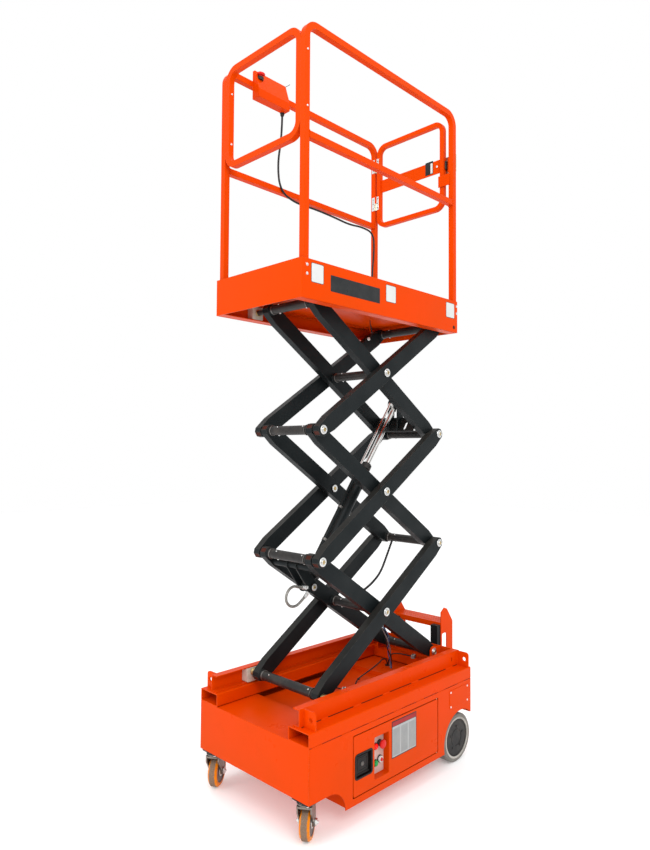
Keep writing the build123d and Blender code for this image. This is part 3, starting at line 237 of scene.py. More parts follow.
def metal(name, color, rough, dark=0.6, grain=0.1):
    """Bare or plated metal with handling marks."""
    s = Shader(name, color, rough, metallic=1.0)
    shade = tuple(c * dark for c in color)
    s.color(s.mix(s.steps(s.noise(22.0, 8.0, 0.65), 0.45, 0.75), color, shade))
    s.rough(s.steps(s.noise(90.0, 5.0), 0.3, 0.75, rough * 0.75, rough * 1.4))
    s.bump(s.noise(260.0, 4.0), grain, 0.0003, bevel=0.0008)
    return s.mat


def plastic(name, color, rough, speckle=None, bump=0.12, scale=350.0):
    """Moulded plastic, rubber or sheet label with a fine grain and soiling."""
    s = Shader(name, color, rough, specular=0.22)
    soil = speckle or tuple(c * 0.55 for c in color)
    s.color(s.mix(s.steps(s.noise(16.0, 9.0, 0.7), 0.42, 0.78, 0.0, 0.8), color, soil))
    s.rough(s.steps(s.noise(20.0, 5.0), 0.3, 0.8, rough * 0.85, min(1.0, rough * 1.2)))
    s.bump(s.noise(scale, 5.0), bump, 0.0005, bevel=0.0012)
    return s.mat


def caster_tread(label):
    """Orange polyurethane tyre, brown-grey where the tread has rolled on the floor."""
    s = Shader(f"caster_tread_{label}", (0.80, 0.20, 0.01), 0.4, tint=(1.0, 0.4, 0.1))
    s.inputs["IOR"].default_value = 1.25
    joint = joint_at[f"caster_axle_{label}"]
    off_middle = s.math("ABSOLUTE", s.along(joint["pos_m"], joint["axis"]))
    ragged = s.math("ADD", off_middle, s.steps(s.noise(160.0, 5.0), 0.3, 0.7, -0.0022, 0.0022))
    scuffs = s.steps(s.noise(240.0, 7.0, 0.7), 0.35, 0.7)
    tread = s.mix(scuffs, (0.15, 0.10, 0.07), (0.27, 0.19, 0.14))
    mottle = s.steps(s.noise(24.0, 6.0), 0.4, 0.75)
    side = s.mix(mottle, (0.80, 0.235, 0.006), (0.56, 0.16, 0.015))
    s.color(s.mix(s.steps(ragged, 0.0128, 0.0150), tread, side))
    s.rough(s.steps(off_middle, 0.012, 0.015, 0.85, 0.34))
    s.bump(s.noise(420.0, 6.0), 0.35, 0.0005, bevel=0.0015)
    return s.mat


def rear_tread():
    """Solid grey rubber: paler scuffed tread and shoulder, fine moulded grain."""
    s = Shader("tyre_rubber", (0.22, 0.22, 0.21), 0.8)
    base = s.mix(s.steps(s.noise(9.0, 7.0), 0.3, 0.7), (0.125, 0.118, 0.105), (0.20, 0.19, 0.17))
    marks = s.math("MULTIPLY", s.steps(s.noise(70.0, 8.0, 0.75), 0.5, 0.72), 0.6)
    tone = s.mix(marks, base, (0.10, 0.09, 0.08))
    s.color(s.mix(s.math("MULTIPLY", s.edges(0.004), 0.5), tone, (0.36, 0.34, 0.31)))
    s.rough(s.steps(s.noise(30.0, 6.0), 0.3, 0.7, 0.7, 0.92))
    s.bump(s.noise(260.0, 6.0), 0.4, 0.0008, bevel=0.003)
    return s.mat


# by name: colour, roughness, share of the colour in the dark marks, strength of the grain
METALS = {
    "chrome": ((0.72, 0.71, 0.69), 0.16, 0.85, 0.01),
    "zinc": ((0.66, 0.60, 0.40), 0.3),
    "hose_braid": ((0.23, 0.22, 0.20), 0.42, 0.45),
    "washer_steel": ((0.78, 0.79, 0.78), 0.34, 0.75),
    "yellow_zinc": ((0.66, 0.50, 0.24), 0.32),
    "braid_wire": ((0.46, 0.45, 0.42), 0.36, 0.5),
    "steel_dark": ((0.20, 0.19, 0.18), 0.42),
    "fork_steel": ((0.26, 0.23, 0.20), 0.38, 0.4),
}
# by name: colour, roughness, colour where it is soiled, strength and scale of the grain
PLASTICS = {
    "shaft_steel": ((0.016, 0.015, 0.015), 0.4, (0.06, 0.05, 0.042)),
    "nylon": ((0.58, 0.55, 0.47), 0.5, (0.28, 0.24, 0.18)),
    "hub_black": ((0.020, 0.020, 0.020), 0.55, (0.07, 0.062, 0.055), 0.3, 120.0),
    "caster_pu": ((0.80, 0.22, 0.01), 0.4, (0.5, 0.15, 0.02)),
    "caster_hub": ((0.42, 0.30, 0.20), 0.5, (0.16, 0.13, 0.11)),
    "battery_case": ((0.02, 0.02, 0.022), 0.5),
    "unit_grey": ((0.12, 0.12, 0.12), 0.4),
    "cable_black": ((0.012, 0.012, 0.014), 0.42, (0.035, 0.033, 0.03)),
    "red_button": ((0.62, 0.012, 0.010), 0.3, (0.35, 0.01, 0.01)),
    "red_lamp": ((0.95, 0.01, 0.006), 0.15, (0.8, 0.01, 0.01)),
    "green_lamp": ((0.01, 0.30, 0.07), 0.2, (0.01, 0.2, 0.05)),
    "button_white": ((0.75, 0.74, 0.70), 0.3),
    "label_white": ((0.60, 0.61, 0.60), 0.35, (0.52, 0.53, 0.52), 0.04),
    "label_grey": ((0.26, 0.27, 0.27), 0.36, (0.34, 0.34, 0.33), 0.04),
    "label_black": ((0.012, 0.014, 0.015), 0.3, (0.03, 0.03, 0.03), 0.04),
    "label_pale": ((0.40, 0.41, 0.41), 0.36, (0.30, 0.31, 0.31), 0.04),
    "latch_black": ((0.006, 0.005, 0.005), 0.45, (0.022, 0.014, 0.011)),
    "rim_grey": ((0.46, 0.44, 0.40), 0.6, (0.16, 0.145, 0.13), 0.25, 160.0),
    "label_red": ((0.34, 0.012, 0.014), 0.35, (0.25, 0.01, 0.01), 0.04),
    "panel_sheet": ((0.55, 0.38, 0.34), 0.35, (0.42, 0.28, 0.26), 0.05),
    # seam_dark: painted shade in the channel gaps, the body seam and the arm tubes' mouths; also the colour of the
    # drain plugs
    "seam_dark": ((0.06, 0.008, 0.002), 0.7, (0.03, 0.005, 0.002)),
    "wire_blue": ((0.05, 0.12, 0.30), 0.4),
    "wire_grey": ((0.25, 0.25, 0.25), 0.45),
}
MATERIALS = {
    "orange_paint": orange_paint(),
    "black_paint": black_paint(),
    "tyre_rubber": rear_tread(),
    **{name: metal(name, *row) for name, row in METALS.items()},
    **{name: plastic(name, *row) for name, row in PLASTICS.items()},
}

# finish of each CAD node: that of its slot, apart from the channels, caster tyres and forks
finish_of = {row["node"]: MATERIALS[row["material_slot"]] for row in frame["record"]["subparts"]}
finish_of["platform_channels"] = MATERIALS["orange_paint"]
for label in SIDES:
    finish_of[f"caster_tyre_{label}"] = caster_tread(label)
    finish_of[f"caster_fork_{label}"] = MATERIALS["fork_steel"]
for node, cad_object in frame["nodes"].items():
    for material_slot in cad_object.material_slots:
        material_slot.material = finish_of[node]

# ---- studio
FLOOR_SIZE = 30.0
floor_mesh = bpy.data.meshes.new("floor")
half = FLOOR_SIZE / 2
floor_mesh.from_pydata(
    [(-half, -half, 0), (half, -half, 0), (half, half, 0), (-half, half, 0)], [], [(0, 1, 2, 3)]
)
floor = linked("floor", floor_mesh)
pale = Shader("pale_floor", (0.86, 0.86, 0.86), 0.7)
pale.rough(pale.steps(pale.noise(3.0), 0.3, 0.7, 0.6, 0.8))
pale.inputs["Emission Strength"].default_value = 0.2
floor.data.materials.append(pale.mat)

world = bpy.data.worlds.new("studio")
bpy.context.scene.world = world
world.use_nodes = True
background = world.node_tree.nodes["Background"].inputs
background["Color"].default_value = (1, 1, 1, 1)
background["Strength"].default_value = 1.0

LAMP_SIZE = 3.0


def soft_light(name, place, target, power):
    """Square white area light that looks at a point."""
    data = bpy.data.lights.new(name, "AREA")
    data.energy = power
    data.size = LAMP_SIZE
    lamp = linked(name, data)
    lamp.location = place
    lamp.rotation_euler = (Vector(target) - Vector(place)).to_track_quat("-Z", "Y").to_euler()


soft_light("key", (3.2, 5.0, 5.2), (0, 0, 1.6), 190)
soft_light("fill", (5.5, -1.0, 3.0), (0, 0, 1.4), 75)
soft_light("top", (0.5, 0.5, 6.5), (0, 0, 2.0), 70)


# ---- mesh tools
def circle(radius, z, sides=32):
    """Ring of points about the local Z axis."""
    angles = [2 * math.pi * i / sides for i in range(sides)]
    return [Vector((radius * math.cos(a), radius * math.sin(a), z)) for a in angles]


def rounded(wide, tall, corner, z, bend=5):
    """Ring of points of a rounded rectangle, anticlockwise."""
    points = []
    for k, (sx, sy) in enumerate(((1, 1), (-1, 1), (-1, -1), (1, -1))):
        for i in range(bend + 1):
            a = math.pi / 2 * (k + i / bend)
            x = sx * (wide / 2 - corner) + corner * math.cos(a)
            y = sy * (tall / 2 - corner) + corner * math.sin(a)
            points.append(Vector((x, y, z)))
    return points


def looking(origin, normal, top=(0, 0, 1)):
    """Placement whose local Z is the normal and local Y is as near as can be to the top."""
    z = Vector(normal).normalized()
    x = Vector(top).cross(z)
    x = x.normalized() if x.length > 1e-6 else Vector((1, 0, 0))
    basis = Matrix((x, z.cross(x), z)).transposed().to_4x4()
    return Matrix.Translation(Vector(origin)) @ basis


def carried(points):
    """Each point of a line, with two axes across the line that don't turn about it."""
    side = None
    for i, point in enumerate(points):
        onward = (points[min(i + 1, len(points) - 1)] - points[max(i - 1, 0)]).normalized()
        if side is None:
            side = onward.orthogonal().normalized()
        side = (side - onward * side.dot(onward)).normalized()
        yield point, side, onward.cross(side)


class Piece:
    """One object of the scene, gathered from lofted bodies in millimetres about placements."""

    def __init__(self, name, body, material):
        self.name, self.body, self.material = name, body, material
        self.bm = bmesh.new()

    def loft(self, place, rings, closed=True):
        """Skin between rings of as many points each, with end faces or else back to the start."""
        rows = [[self.bm.verts.new(place @ (p * MM)) for p in ring] for ring in rings]
        for a, b in zip(rows, rows[1:] + ([] if closed else rows[:1])):
            for i in range(len(a)):
                j = (i + 1) % len(a)
                self.bm.faces.new((a[i], a[j], b[j], b[i]))
        if closed:
            self.bm.faces.new(reversed(rows[0]))
            self.bm.faces.new(rows[-1])
        return self

    def turned(self, place, profile, sides=32):
        """Solid of revolution from (radius, height) pairs, a ring where the last is the first."""
        ring = profile[0] == profile[-1]
        rows = [circle(r, z, sides) for r, z in (profile[:-1] if ring else profile)]
        return self.loft(place, rows, closed=not ring)

    def disc(self, place, radius, thick, edge=0.6, sides=32, base=0.0):
        """Disc from base upwards with a bevelled outer edge."""
        top = base + thick
        rows = [(radius, base), (radius, top - edge), (radius - edge, top)]
        return self.turned(place, rows, sides)

    def ring(self, place, inner, outer, thick, edge=0.6, sides=36, base=0.0):
        """Flat ring with bevelled edges."""
        top = base + thick
        rows = [(inner, base), (outer, base), (outer, top - edge), (outer - edge, top)]
        rows += [(inner + edge, top), (inner, top - edge), (inner, base)]
        return self.turned(place, rows, sides)

    def slab(self, place, wide, tall, thick, corner, edge=0.4, base=0.0):
        """Rounded plate with a bevelled front edge."""
        top = base + thick
        rings = [
            rounded(wide, tall, corner, base),
            rounded(wide, tall, corner, top - edge),
            rounded(wide - 2 * edge, tall - 2 * edge, max(corner - edge, 0.1), top),
        ]
        return self.loft(place, rings)

    def frame(self, place, wide, tall, band, thick, corner, edge=0.6, base=0.0):
        """Rounded frame, open in the middle."""
        top = base + thick
        sizes = [(0, base), (0, top - edge), (edge, top), (band - edge, top), (band, top - edge)]
        sizes.append((band, base))
        rings = [rounded(wide - 2 * i, tall - 2 * i, max(corner - i, 0.5), z) for i, z in sizes]
        return self.loft(place, rings, closed=False)

    def hexagon(self, place, radius, thick, base=0.0):
        """Hexagon head with a chamfered top."""
        top = base + thick
        rows = [circle(radius, base, 6), circle(radius, top - radius * 0.12, 6)]
        rows.append(circle(radius * 0.9, top, 6))
        return self.loft(place, rows)

    def dome(self, place, radius, thick, base=0.0, sides=24):
        """Button head."""
        rows = [(radius, base), (radius, base + thick * 0.35), (radius * 0.86, base + thick * 0.75)]
        rows += [(radius * 0.5, base + thick * 0.97), (radius * 0.06, base + thick)]
        return self.turned(place, rows, sides)

    def box(self, low, high, edge=0.5):
        """Box between two opposite corners in metres, with bevelled edges."""
        corners = list(zip(low, high))
        low, high = Vector([min(c) for c in corners]), Vector([max(c) for c in corners])
        size = (high - low) / MM
        place = looking((low + high) / 2, (0, 0, 1), (0, 1, 0))
        half = size.z / 2
        edge = min(edge, min(size) * 0.3)
        sizes = ((edge, -half), (0, edge - half), (0, half - edge), (edge, half))
        rings = [rounded(size.x - 2 * i, size.y - 2 * i, edge, z, 1) for i, z in sizes]
        return self.loft(place, rings)

    def tube(self, points, radius, sides=10):
        """Round tube along points in metres."""
        angles = [2 * math.pi * k / sides for k in range(sides)]
        rings = [
            [point / MM + (side * math.cos(a) + other * math.sin(a)) * radius for a in angles]
            for point, side, other in carried(points)
        ]
        return self.loft(Matrix(), rings)

    def done(self, smooth=32.0, blend=None):
        """Finish the mesh, give it its finish and let it ride on its body, or with a blend leave it unparented
        where it is.
        """
        bmesh.ops.recalc_face_normals(self.bm, faces=self.bm.faces)
        mesh = bpy.data.meshes.new(self.name)
        self.bm.to_mesh(mesh)
        self.bm.free()
        mesh.shade_smooth()
        mesh.set_sharp_from_angle(angle=math.radians(smooth))
        mesh.materials.append(MATERIALS[self.material])
        made = linked(self.name, mesh)
        if blend:
            self.body
            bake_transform(made)
        else:
            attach(made, self.body)


def finish(*pieces):
    """Finish several pieces."""
    for piece in pieces:
        piece.done()


X, Y, Z = Vector((1, 0, 0)), Vector((0, 1, 0)), Vector((0, 0, 1))

# ---- places of the linkage
rear = joint_place("lift")
front_x = joint_place("bottom_slide_pivot").x
mid_x = joint_place("cross_pivot_1").x
stage_height = joint_place("rear_pivot_1").z - rear.z
level = {k / 2: rear.z + stage_height * k / 2 for k in range(7)}
ARM_ANGLE = math.radians(33.3)
rising = Vector((math.cos(ARM_ANGLE), 0, math.sin(ARM_ANGLE)))
falling = Vector((math.cos(ARM_ANGLE), 0, -math.sin(ARM_ANGLE)))
ARM_LENGTH = 1100
ARM_MOUTH = 28  # how far past its last pin an arm ends
INNER_ARM_Y, OUTER_ARM_Y = 159, 207
INNER_TUBE_END, OUTER_TUBE_END = 139, 187
TUBE_RADIUS = 22.5
PIN_OUT, LOWEST_PIN_OUT, HIGHEST_PIN_OUT = 227, 192, 242
GAP_RING_Y = 180.2
STUB_HEAD_Y = 135
CYLINDER_PIN_Y = 44

# ---- pin ends
# by body of the shaft: where each pin is, and how far out its end stands
PINS = {
    "inner_frame_1": ((rear.x, 0, LOWEST_PIN_OUT), (mid_x, 0.5, PIN_OUT), (front_x, 1, PIN_OUT)),
    "inner_frame_2": ((rear.x, 1, PIN_OUT), (mid_x, 1.5, PIN_OUT), (front_x, 2, PIN_OUT)),
    "inner_frame_3": ((rear.x, 2, PIN_OUT), (mid_x, 2.5, PIN_OUT)),
    "outer_frame_3": ((rear.x, 3, HIGHEST_PIN_OUT),),
}
for body, pins in PINS.items():
    washers = Piece(f"pin_washers_{body}", body, "washer_steel")
    bolts = Piece(f"pin_bolts_{body}", body, "yellow_zinc")
    sockets = Piece(f"pin_sockets_{body}", body, "steel_dark")
    for x, stage, out in pins:
        for side in BOTH:
            place = looking((x, side * out * MM, level[stage]), Y * side)
            washers.ring(place, 12.7, 21.5, 4.2, 1.2)
            washers.ring(place, 9.6, 12.9, 5, 0.6, base=4.6)
            bolts.disc(place, 9.5, 1.4, 0.8, 24, base=4.6)
            bolts.hexagon(place, 7.4, 2.6, base=6)
            sockets.hexagon(place, 3.6, 0.5, base=8.3)
    finish(washers, bolts, sockets)

# inner heads of the short middle pins of stage 2, beside the cylinder
washers = Piece("stub_pin_washers", "inner_frame_2", "washer_steel")
bolts = Piece("stub_pin_bolts", "inner_frame_2", "yellow_zinc")
for side in BOTH:
    place = looking((mid_x, side * STUB_HEAD_Y * MM, level[1.5]), Y * -side)
    washers.ring(place, 9.6, 19.5, 1.6, 0.8)
    bolts.disc(place, 9.5, 3, 0.8, 24)
    bolts.hexagon(place, 7.4, 2.6, base=3)
finish(washers, bolts)

# the lower pin of the lift cylinder
low_eye = joint_place("barrel_pivot")
washers = Piece("cylinder_pin_washers", "inner_frame_1", "washer_steel")
bolts = Piece("cylinder_pin_bolts", "inner_frame_1", "yellow_zinc")
for side in BOTH:
    place = looking((low_eye.x, side * CYLINDER_PIN_Y * MM, low_eye.z), Y * side)
    washers.ring(place, 8, 16.5, 2.6, 1)
    bolts.hexagon(place, 8.2, 4.6)
finish(washers, bolts)

# ---- collars and screws of the tubes
TUBES = {
    "inner_frame_1": ((rear.x, 0), (mid_x, 0.5), (front_x, 1)),
    "inner_frame_2": ((rear.x, 1), (front_x, 2)),
    "inner_frame_3": ((rear.x, 2), (mid_x, 2.5), (front_x, 3)),
    "outer_frame_1": ((front_x, 0),),
    "outer_frame_3": ((rear.x, 3),),
}
BEAD = [(28, 0), (27.5, 2.4), (25.5, 4.6), (22.5, 6.4), (21.5, 6.4), (21.5, 0), (28, 0)]
SLANT = X * 0.64 + Z * 0.77
for body, tubes in TUBES.items():
    collars = Piece(f"tube_collars_{body}", body, "black_paint")
    lips = Piece(f"tube_lips_{body}", body, "steel_dark")
    screws = Piece(f"tube_screws_{body}", body, "washer_steel")
    end = INNER_TUBE_END if body.startswith("inner") else OUTER_TUBE_END
    for x, stage in tubes:
        for side in BOTH:
            inward = looking((x, side * end * MM, level[stage]), Y * -side)
            collars.turned(inward, BEAD, 36)
            lips.ring(inward, TUBE_RADIUS - 0.5, TUBE_RADIUS + 3.2, 4, 1.4, base=16)
            # those on the right stand further in, clear of the harness
            inset = 30 if side > 0 else 62
            for way, top, back, size, tall in ((-Z, X, 0, 4.2, 4.4), (SLANT, Y, 4, 3.6, 4.6)):
                y = side * (end - inset - back)
                seat = Vector((x, y * MM, level[stage])) + way * (TUBE_RADIUS - 0.4) * MM
                screws.dome(looking(seat, way, top), size, tall, sides=16)
    collars.done(50)
    finish(lips, screws)

# rings in the gap between the inner and the outer arms
for body in ("inner_frame_1", "inner_frame_2", "inner_frame_3"):
    rings = Piece(f"gap_rings_{body}", body, "steel_dark")
    for x, stage, out in PINS[body]:
        for side in BOTH if out == PIN_OUT else ():
            place = looking((x, side * GAP_RING_Y * MM, level[stage]), Y * side)
            rings.ring(place, 20.1, 24.5, 5.4, 1.2)
    rings.done()

# open mouths of the arm tubes, in the arms' own planes; a dark sheet in each stands for the shade inside the tube:
# painted shade
for stage in (1, 2, 3):
    for kind, start, along, y in (
        ("inner", level[stage - 1], rising, INNER_ARM_Y),
        ("outer", level[stage], falling, OUTER_ARM_Y),
    ):
        body = f"{kind}_frame_{stage}"
        rims = Piece(f"arm_end_rims_{body}", body, "black_paint")
        dark = Piece(f"arm_end_hollows_{body}", body, "seam_dark")
        for end, out in ((-ARM_MOUTH, -1), (ARM_LENGTH + ARM_MOUTH, 1)):
            for side in BOTH:
                mouth = Vector((rear.x, side * y * MM, start)) + along * end * MM
                place = looking(mouth, along * out, along.cross(Y))
                rims.frame(place, 39, 27, 3.5, 1.6, 4, 0.5)
                dark.slab(place, 32.6, 20.6, 0.35, 2.5, 0.1)
        finish(rims, dark)


# ---- platform plates, bolts and trim
tray_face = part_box("platform_tray")[1][1]


def plates(name, material, rows, thick, corner, border=0):
    """Blank plates on the tray's left face; rows are x0, x1, z0, z1 in chassis millimetres."""
    made = Piece(name, "platform", material)
    for x0, x1, z0, z1 in rows:
        place = looking(at((x0 + x1) / 2, 0, (z0 + z1) / 2) + Y * tray_face, Y)
        wide, tall = x1 - x0 - 2 * border, z1 - z0 - 2 * border
        made.slab(place, wide, tall, thick, corner, min(0.3, thick / 2))
    made.done()


LABELS = [(466, 544, 2383, 2470), (-50, 29, 2382, 2468), (-572, -491, 2383, 2467)]
plates("name_plate", "label_black", [(76, 421, 2363, 2437)], 0.8, 3)
plates("tray_labels", "label_black", LABELS, 0.3, 7)
plates("tray_label_faces", "label_white", LABELS, 0.6, 5.5, border=2.2)

TRAY_SIDE = 305
tray_bolts = Piece("tray_bolts", "platform", "washer_steel")
plugs = Piece("tray_drain_plugs", "platform", "seam_dark")
for side in BOTH:
    for x in (569, -594):
        for z in (2456, 2416):
            place = looking(at(x, side * TRAY_SIDE, z), Y * side)
            tray_bolts.ring(place, 2, 7.2, 1.2, 0.4, 24)
            tray_bolts.dome(place, 5.6, 4.6)
    plugs.disc(looking(at(-567, side * TRAY_SIDE, 2335), Y * side), 10.5, 0.3, 0.1)
finish(tray_bolts, plugs)


def tread(name, body, floors, xs, y0, y1, pitch, foot, crest):
    """Pattern of raised bars that lie by turns one way and the other."""
    bars = Piece(name, body, "orange_paint")
    for z in floors:
        for row, x in enumerate(xs):
            for k, y in enumerate(range(y0 + (pitch // 2 if row % 2 else 0), y1, pitch)):
                turn = math.radians(45 if (row + k) % 2 else -45)
                place = Matrix.Translation(at(x, y, z)) @ Matrix.Rotation(turn, 4, "Z")
                bars.loft(place, [rounded(*foot, 0, 1), rounded(*crest, 1)])
    bars.done()


floors = [joint_place("platform_pivot").z / MM + 45]
bar = (22, 5, 2.4), (17, 2, 0.9, 1.3)
tread("floor_tread", "platform", floors, range(-570, 575, 17), -236, 240, 34, *bar)

# ---- guard rails
POST_FRONT_X, POST_REAR_X = 571, -582
MID_RAIL_Z = 3039.8
rail_bolts = Piece("rail_bolts", "platform", "washer_steel")
for side in BOTH:
    for z in (3413, 3160):
        for y, out in ((301, side), (241, -side)):
            rail_bolts.dome(looking(at(POST_FRONT_X, side * y, z), Y * out), 5.2, 4.4)
rail_bolts.done()

# welds where the mid rails meet the posts
rail_welds = Piece("rail_welds", "platform", "orange_paint")
for side in BOTH:
    for x, out in ((POST_FRONT_X - 15, -1), (POST_REAR_X + 15, 1)):
        place = looking(at(x, side * 286, MID_RAIL_Z), X * out)
        rail_welds.frame(place, 35.5, 35.5, 3.6, 2.6, 2, 1.6)
rail_welds.done(60)

# ---- gate and latch
GATE_PLATE_X = POST_REAR_X + 3
place = looking(at(GATE_PLATE_X, 130.5, 3288), X)
Piece("gate_plate_label", "gate", "label_black").slab(place, 55, 76, 0.6, 4).done()
place = looking(at(GATE_PLATE_X + 0.5, 147, 3284), X)
Piece("gate_plate_stripe", "gate", "label_white").slab(place, 15, 60, 0.3, 2, 0.1).done()
place = looking(at(GATE_PLATE_X, 186, 3282), X)
Piece("gate_bolt", "gate", "washer_steel").dome(place, 7, 5).done()
# each row: piece, body, finish, bevel, and two corners, X from the middle of the rear post
CATCHES = [
    ("gate_stop", "gate", "orange_paint", 1.2, (15.6, 203, 3149), (19, 279, 3214)),
    ("gate_stop", "gate", "orange_paint", 0.6, (12.8, 212, 3156), (16, 234, 3208)),
    ("gate_catch", "platform", "hub_black", 1.6, (-15, 238.4, 3252), (4, 245.5, 3300)),
    ("gate_catch_arm", "platform", "orange_paint", 1, (-14.9, 246, 3236), (-11.5, 271, 3320)),
]
catches = {row[0]: Piece(*row[:3]) for row in CATCHES}
for name, _, _, bevel, low, high in CATCHES:
    low, high = [at(POST_REAR_X + x, y, z) for x, y, z in (low, high)]
    catches[name].box(low, high, bevel)
finish(*catches.values())

# hinges: screws on the gate, caps on the pins, and leaves on the rear post and the gate's stile
HINGES = (3134.8, 3371.8)
screws = Piece("hinge_screws_gate", "gate", "yellow_zinc")
caps = Piece("hinge_screws_platform", "platform", "yellow_zinc")
for z in HINGES:
    for dz in (55, 79):
        screws.dome(looking(at(POST_REAR_X + 13, -252.5, z + dz), X), 3.4, 1.8, sides=16)
    caps.dome(looking(at(-569, -264, z + 87.8), Z, X), 5, 2.6, sides=20)
finish(screws, caps)
for body, out, y, wide in (("platform", 15.2, -283, 23), ("gate", 12.9, -250.5, 18)):
    leaves = Piece(f"hinge_leaves_{body}", body, "washer_steel")
    heads = Piece(f"hinge_leaf_screws_{body}", body, "steel_dark")
    for z in HINGES:
        place = looking(at(POST_REAR_X + out, y, z + 44.5), X)
        leaves.slab(place, wide, 84, 2, 2.5)
        for dz in (-28, 0, 28):
            shift = Matrix.Translation((0, dz * MM, 2 * MM))
            heads.dome(place @ shift, 3.6, 1.6, sides=16)
    finish(leaves, heads)

# ---- platform control box
box_low, box_high = map(Vector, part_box("control_box"))
place = looking(at(388, -240, 3574), (0, 0.31, 0.95), X)
profile = [(17, -10), (17, 3), (15, 5), (12, 6)]
Piece("control_stop_collar", "platform", "hub_black").turned(place, profile, 32).done()
profile = [(9, 4), (9, 11), (19, 13), (20.5, 17), (19.5, 22), (14, 26), (5, 27.5), (0.5, 27.7)]
Piece("control_stop_knob", "platform", "red_button").turned(place, profile, 40).done()
CABLE_RADIUS = 5.5
gland = Piece("control_cable_gland", "platform", "hub_black")
cable_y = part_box("control_cable")[0][1] + CABLE_RADIUS * MM
place = looking((at(214, 0, 0).x, cable_y, box_low.z), -Z, X)
gland.hexagon(place, 12.5, 6)
gland.turned(place, [(10.5, 5.5), (10.5, 12), (9, 15), (6.6, 17), (5.7, 17)], 28)
gland.done()
low, high = (box_low.x - MM, box_low.y + MM, box_high.z - 3 * MM), (box_low.x, *box_high.yz)
Piece("control_box_lid", "platform", "hub_black").box(low, high, 0.3).done()

# short lead that hangs under the platform, with its tie and plug
TRAY_LEAD = [(-138, 2346), (-139, 2330), (-148, 2305), (-154, 2283), (-146, 2262), (-134, 2248)]
hanging = Piece("tray_lead", "platform", "cable_black")
hanging.tube([at(x, 60, z) for x, z in TRAY_LEAD], 2.6, 10)
hanging.ring(looking(at(-154, 60, 2281), Z, X), 2.6, 6, 5, 0.8, 20)
hanging.done(60)
place = looking(at(-130, 56, 2244), Y)
Piece("tray_lead_plug", "platform", "button_white").dome(place, 9, 8).done()


# ---- held cords, in their CAD tubes
def held_cord(name, node, body, material, y, radius, route):
    """Smooth line through a cord's route; points are X and Z in chassis millimetres."""
    data = bpy.data.curves.new(name, "CURVE")
    data.dimensions = "3D"
    spline = data.splines.new("NURBS")
    spline.points.add(len(route) - 1)
    for point, (x, z) in zip(spline.points, route):
        point.co = (*at(x, y, z), 1)
    spline.order_u = 3
    spline.use_endpoint_u = True
    data.resolution_u = 12
    made = linked(name, data)
    line = bpy.data.meshes.new_from_object(made)
    spine = [v.co.copy() for v in line.vertices]
    bpy.data.meshes.remove(line)
    data.bevel_depth = radius * MM
    data.bevel_resolution = 4
    data.use_fill_caps = True
    data.materials.append(MATERIALS[material])
    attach(made, body)
    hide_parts(node)
    return spine


def resampled(spine, gap):
    """Points along a line at an even distance in metres."""
    points = [spine[0]]
    left = gap
    for a, b in zip(spine, spine[1:]):
        run = (b - a).length
        while run >= left:
            a = a.lerp(b, left / run)
            points.append(a.copy())
            run -= left
            left = gap
        left -= run
    return points


def wound(piece, spine, radius, pitch, wire, phase=0, hand=1, per_turn=12):
    """Wire wound round a line as a helix; pitch in millimetres a turn."""
    points = []
    for i, (point, side, other) in enumerate(carried(resampled(spine, pitch * MM / per_turn))):
        a = phase + hand * 2 * math.pi * i / per_turn
        points.append(point + (side * math.cos(a) + other * math.sin(a)) * radius * MM)
    piece.tube(points, wire, 6)


CABLE_ROUTE = [
    (214, 3459.5), (216, 3330), (245, 3175), (226, 3036), (120, 2998), (-30, 3004),
    (-185, 2999), (-325, 2988), (-440, 3002), (-549, 2989), (-553, 2870), (-534, 2730),
    (-541, 2565), (-533, 2390.1),
]
held_cord(
    "cable_to_control_box", "control_cable", "platform", "cable_black", -264.7, CABLE_RADIUS,
    CABLE_ROUTE,
)

HOSE_ROUTE = [
    (292, 951), (325.4, 926), (362, 904), (401, 908), (427, 934), (429, 965),
    (409, 993), (375, 1003), (342.9, 989.1), (301.5, 984.9),
]
hose_spine = held_cord(
    "hose_to_cylinder", "cylinder_hose", "inner_frame_1", "hose_braid", 32, 6.1, HOSE_ROUTE
)
braid = Piece("hose_braid_wires", "inner_frame_1", "braid_wire")
for hand in (1, -1):
    for k in range(5):
        wound(braid, hose_spine, 6.15, 34, 0.45, 2 * math.pi * k / 5, hand, 16)
braid.done(60)
crimps = Piece("hose_fittings", "inner_frame_1", "washer_steel")
for mouth, beyond in (hose_spine[:2], hose_spine[:-3:-1]):
    place = looking(mouth, beyond - mouth, Y)
    crimps.ring(place, 5.5, 8.6, 20, 0.8, 24, base=2)
    for groove in (6, 10, 14):
        crimps.ring(place, 8, 9.2, 2, 0.5, 24, base=groove)
    crimps.hexagon(place, 11.5, 9, base=-9)
crimps.done()

HARNESS_ROUTE = [
    (-529, 1117.3), (-478, 1030), (-428, 950), (-362, 902), (-285, 868), (-195, 848), (-100.1, 837),
]
harness_spine = held_cord(
    "lift_harness_core", "lift_harness", "outer_frame_1", "cable_black", -100, 5.6, HARNESS_ROUTE
)
wrap = Piece("lift_harness_wrap", "outer_frame_1", "cable_black")
wound(wrap, harness_spine, 5.9, 11, 1.5, per_turn=14)
wrap.done(60)

# ---- lift cylinder details
stroke = Vector(joint_at["rod_stroke"]["axis"])
across = stroke.cross(Y)
BARREL_END = 706


def along_barrel(where):
    """Point on the cylinder's axis, in millimetres from its lower pin."""
    return low_eye + stroke * where * MM


